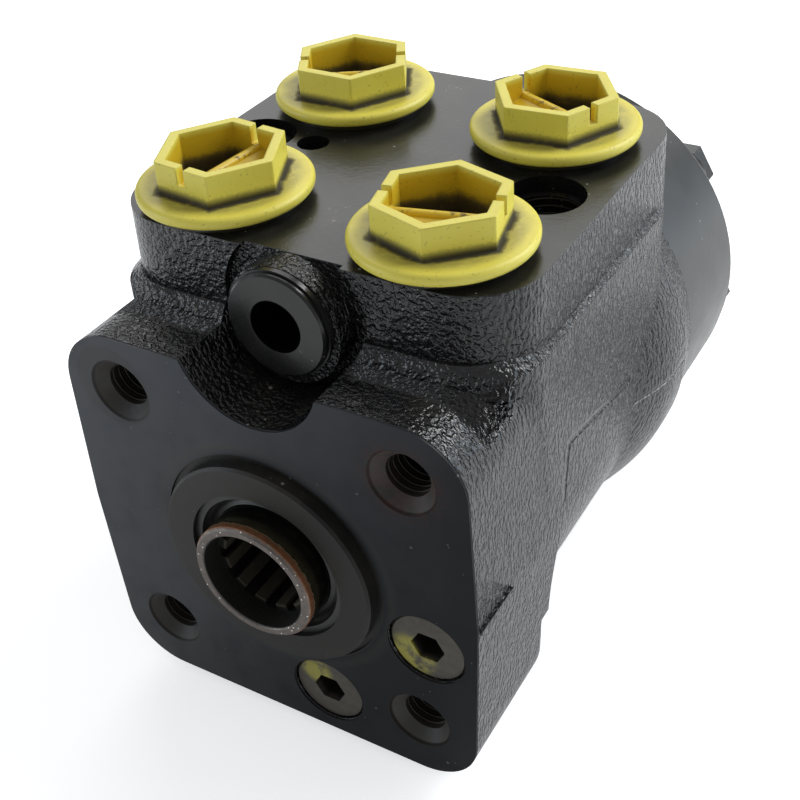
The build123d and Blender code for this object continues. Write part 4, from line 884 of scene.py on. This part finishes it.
rib_plastic, shader, board = material_board("rib plastic", roughness=0.42)
vector, x, y, z = board.place()
soil = board.rise(board.noise(vector, 0.0016, detail=3.0, roughness=0.65), 0.52, 0.68)
board.plug(shader.inputs["Base Color"], board.mix(soil, (0.72, 0.52, 0.035), (0.20, 0.13, 0.02)))
RIB_BACK, RIB_LEVEL = 0.0006, 0.0061
rib_points, rib_turns = [], []
for cap_x, cap_y, cap_turn in cap_places.values():
    turned = radians(cap_turn)
    rib_points.append((cap_x + RIB_BACK * sin(turned), cap_y - RIB_BACK * cos(turned), PORT_FACE + RIB_LEVEL))
    rib_turns.append(turned)
cap_ribs = grow("cap_ribs", rib_points, rib_tree("cap ribs"), {
    "Half Length": 9.0 * MM, "Bar Radius": 0.75 * MM, "Finish": rib_plastic,
}, turns=rib_turns)

# %% [markdown]
# ## Table, light and camera
#
# A pale table and an even white surround give the black paint something to mirror: a black gloss
# surface shows its shape only by what it reflects. The table is white to the camera and keeps
# the shadow, and the lamps are large, so that no highlight is hard.

# %% Table
TABLE_LIFT = 0.58
floor_level = cad_box[0][2] - 0.0002
table_mesh = bpy.data.meshes.new("table")
shaper = bmesh.new()
bmesh.ops.create_grid(shaper, x_segments=1, y_segments=1, size=3.0)
for corner in shaper.verts:
    corner.co.z = floor_level
shaper.to_mesh(table_mesh)
shaper.free()
table = bpy.data.objects.new("table", table_mesh)
bpy.context.scene.collection.objects.link(table)
table_paper = bpy.data.materials.new("table paper")
table_paper.use_nodes = True
board = Board(table_paper.node_tree)
paper = table_paper.node_tree.nodes["Principled BSDF"]
paper.inputs["Base Color"].default_value = (0.86, 0.86, 0.86, 1.0)
paper.inputs["Roughness"].default_value = 0.9
paper.inputs["Specular IOR Level"].default_value = 0.0
rays = board.add("ShaderNodeLightPath").outputs
mirrored = board.math("MAXIMUM", rays["Is Glossy Ray"], rays["Is Transmission Ray"])
seen = board.math("MAXIMUM", rays["Is Camera Ray"], board.math("MULTIPLY", mirrored, 0.5))
strength = board.math("MULTIPLY", seen, TABLE_LIFT)
lift = board.add("ShaderNodeEmission", {"Color": (1.0, 1.0, 1.0), "Strength": strength})
both = board.add("ShaderNodeAddShader")
board.plug(both.inputs[0], paper.outputs[0])
board.plug(both.inputs[1], lift.outputs[0])
board.plug(table_paper.node_tree.nodes["Material Output"].inputs["Surface"], both.outputs[0])
table.data.materials.append(table_paper)
print("table at", round(floor_level, 4))

# %% [markdown]
# Four large lamps stand around the unit: one above, and three that act as windows at the back, the
# side and the front. Small lamps would put hard sparks on every grain of the casting.


# %% Lamps and surround
def soft_lamp(name, place, aim, size, power, colour=(1.0, 1.0, 1.0)):
    """A square area lamp at place, turned to aim."""
    lamp = bpy.data.lights.new(name, "AREA")
    lamp.shape = "SQUARE"
    lamp.size = size
    lamp.energy = power
    lamp.color = colour
    holder = bpy.data.objects.new(name, lamp)
    holder.location = place
    holder.rotation_euler = (Vector(aim) - Vector(place)).to_track_quat("-Z", "Y").to_euler()
    bpy.context.scene.collection.objects.link(holder)
    return holder


centre = (0.0, 0.06, 0.0)
soft_lamp("key", (0.55, 0.75, 0.85), centre, 0.6, 9.5)
soft_lamp("back window", (-0.50, 0.85, 0.72), centre, 0.8, 2.8)
soft_lamp("side window", (0.95, 0.78, 0.38), centre, 0.8, 5.6, (0.72, 0.87, 1.0))
soft_lamp("front window", (-0.80, -0.50, 0.16), centre, 0.5, 2.2, (0.80, 0.91, 1.0))
world = bpy.data.worlds.new("surround")
world.use_nodes = True
backdrop = world.node_tree.nodes["Background"]
backdrop.inputs["Color"].default_value = (0.97, 0.98, 1.0, 1.0)
backdrop.inputs["Strength"].default_value = 0.40
bpy.context.scene.world = world
bpy.context.scene.view_settings.view_transform = "Standard"
print("lamps:", len(bpy.data.lights))

# %% [markdown]
# The camera looks down at the mounting face from its right, where the ports, the shaft and the side
# wall all show. Its place was worked out from the four mounting holes, whose square is known.

# %% Camera
lens = bpy.data.cameras.new("camera")
lens.sensor_width = 36.0
lens.lens = 56.766
lens.clip_start = 0.01
camera = bpy.data.objects.new("camera", lens)
camera.location = (0.112483, -0.129500, 0.160382)
camera.rotation_euler = (radians(53.2959), radians(3.4106), radians(29.8965))
bpy.context.scene.collection.objects.link(camera)
bpy.context.scene.camera = camera
print("camera lens:", lens.lens, "mm")

# %% [markdown]
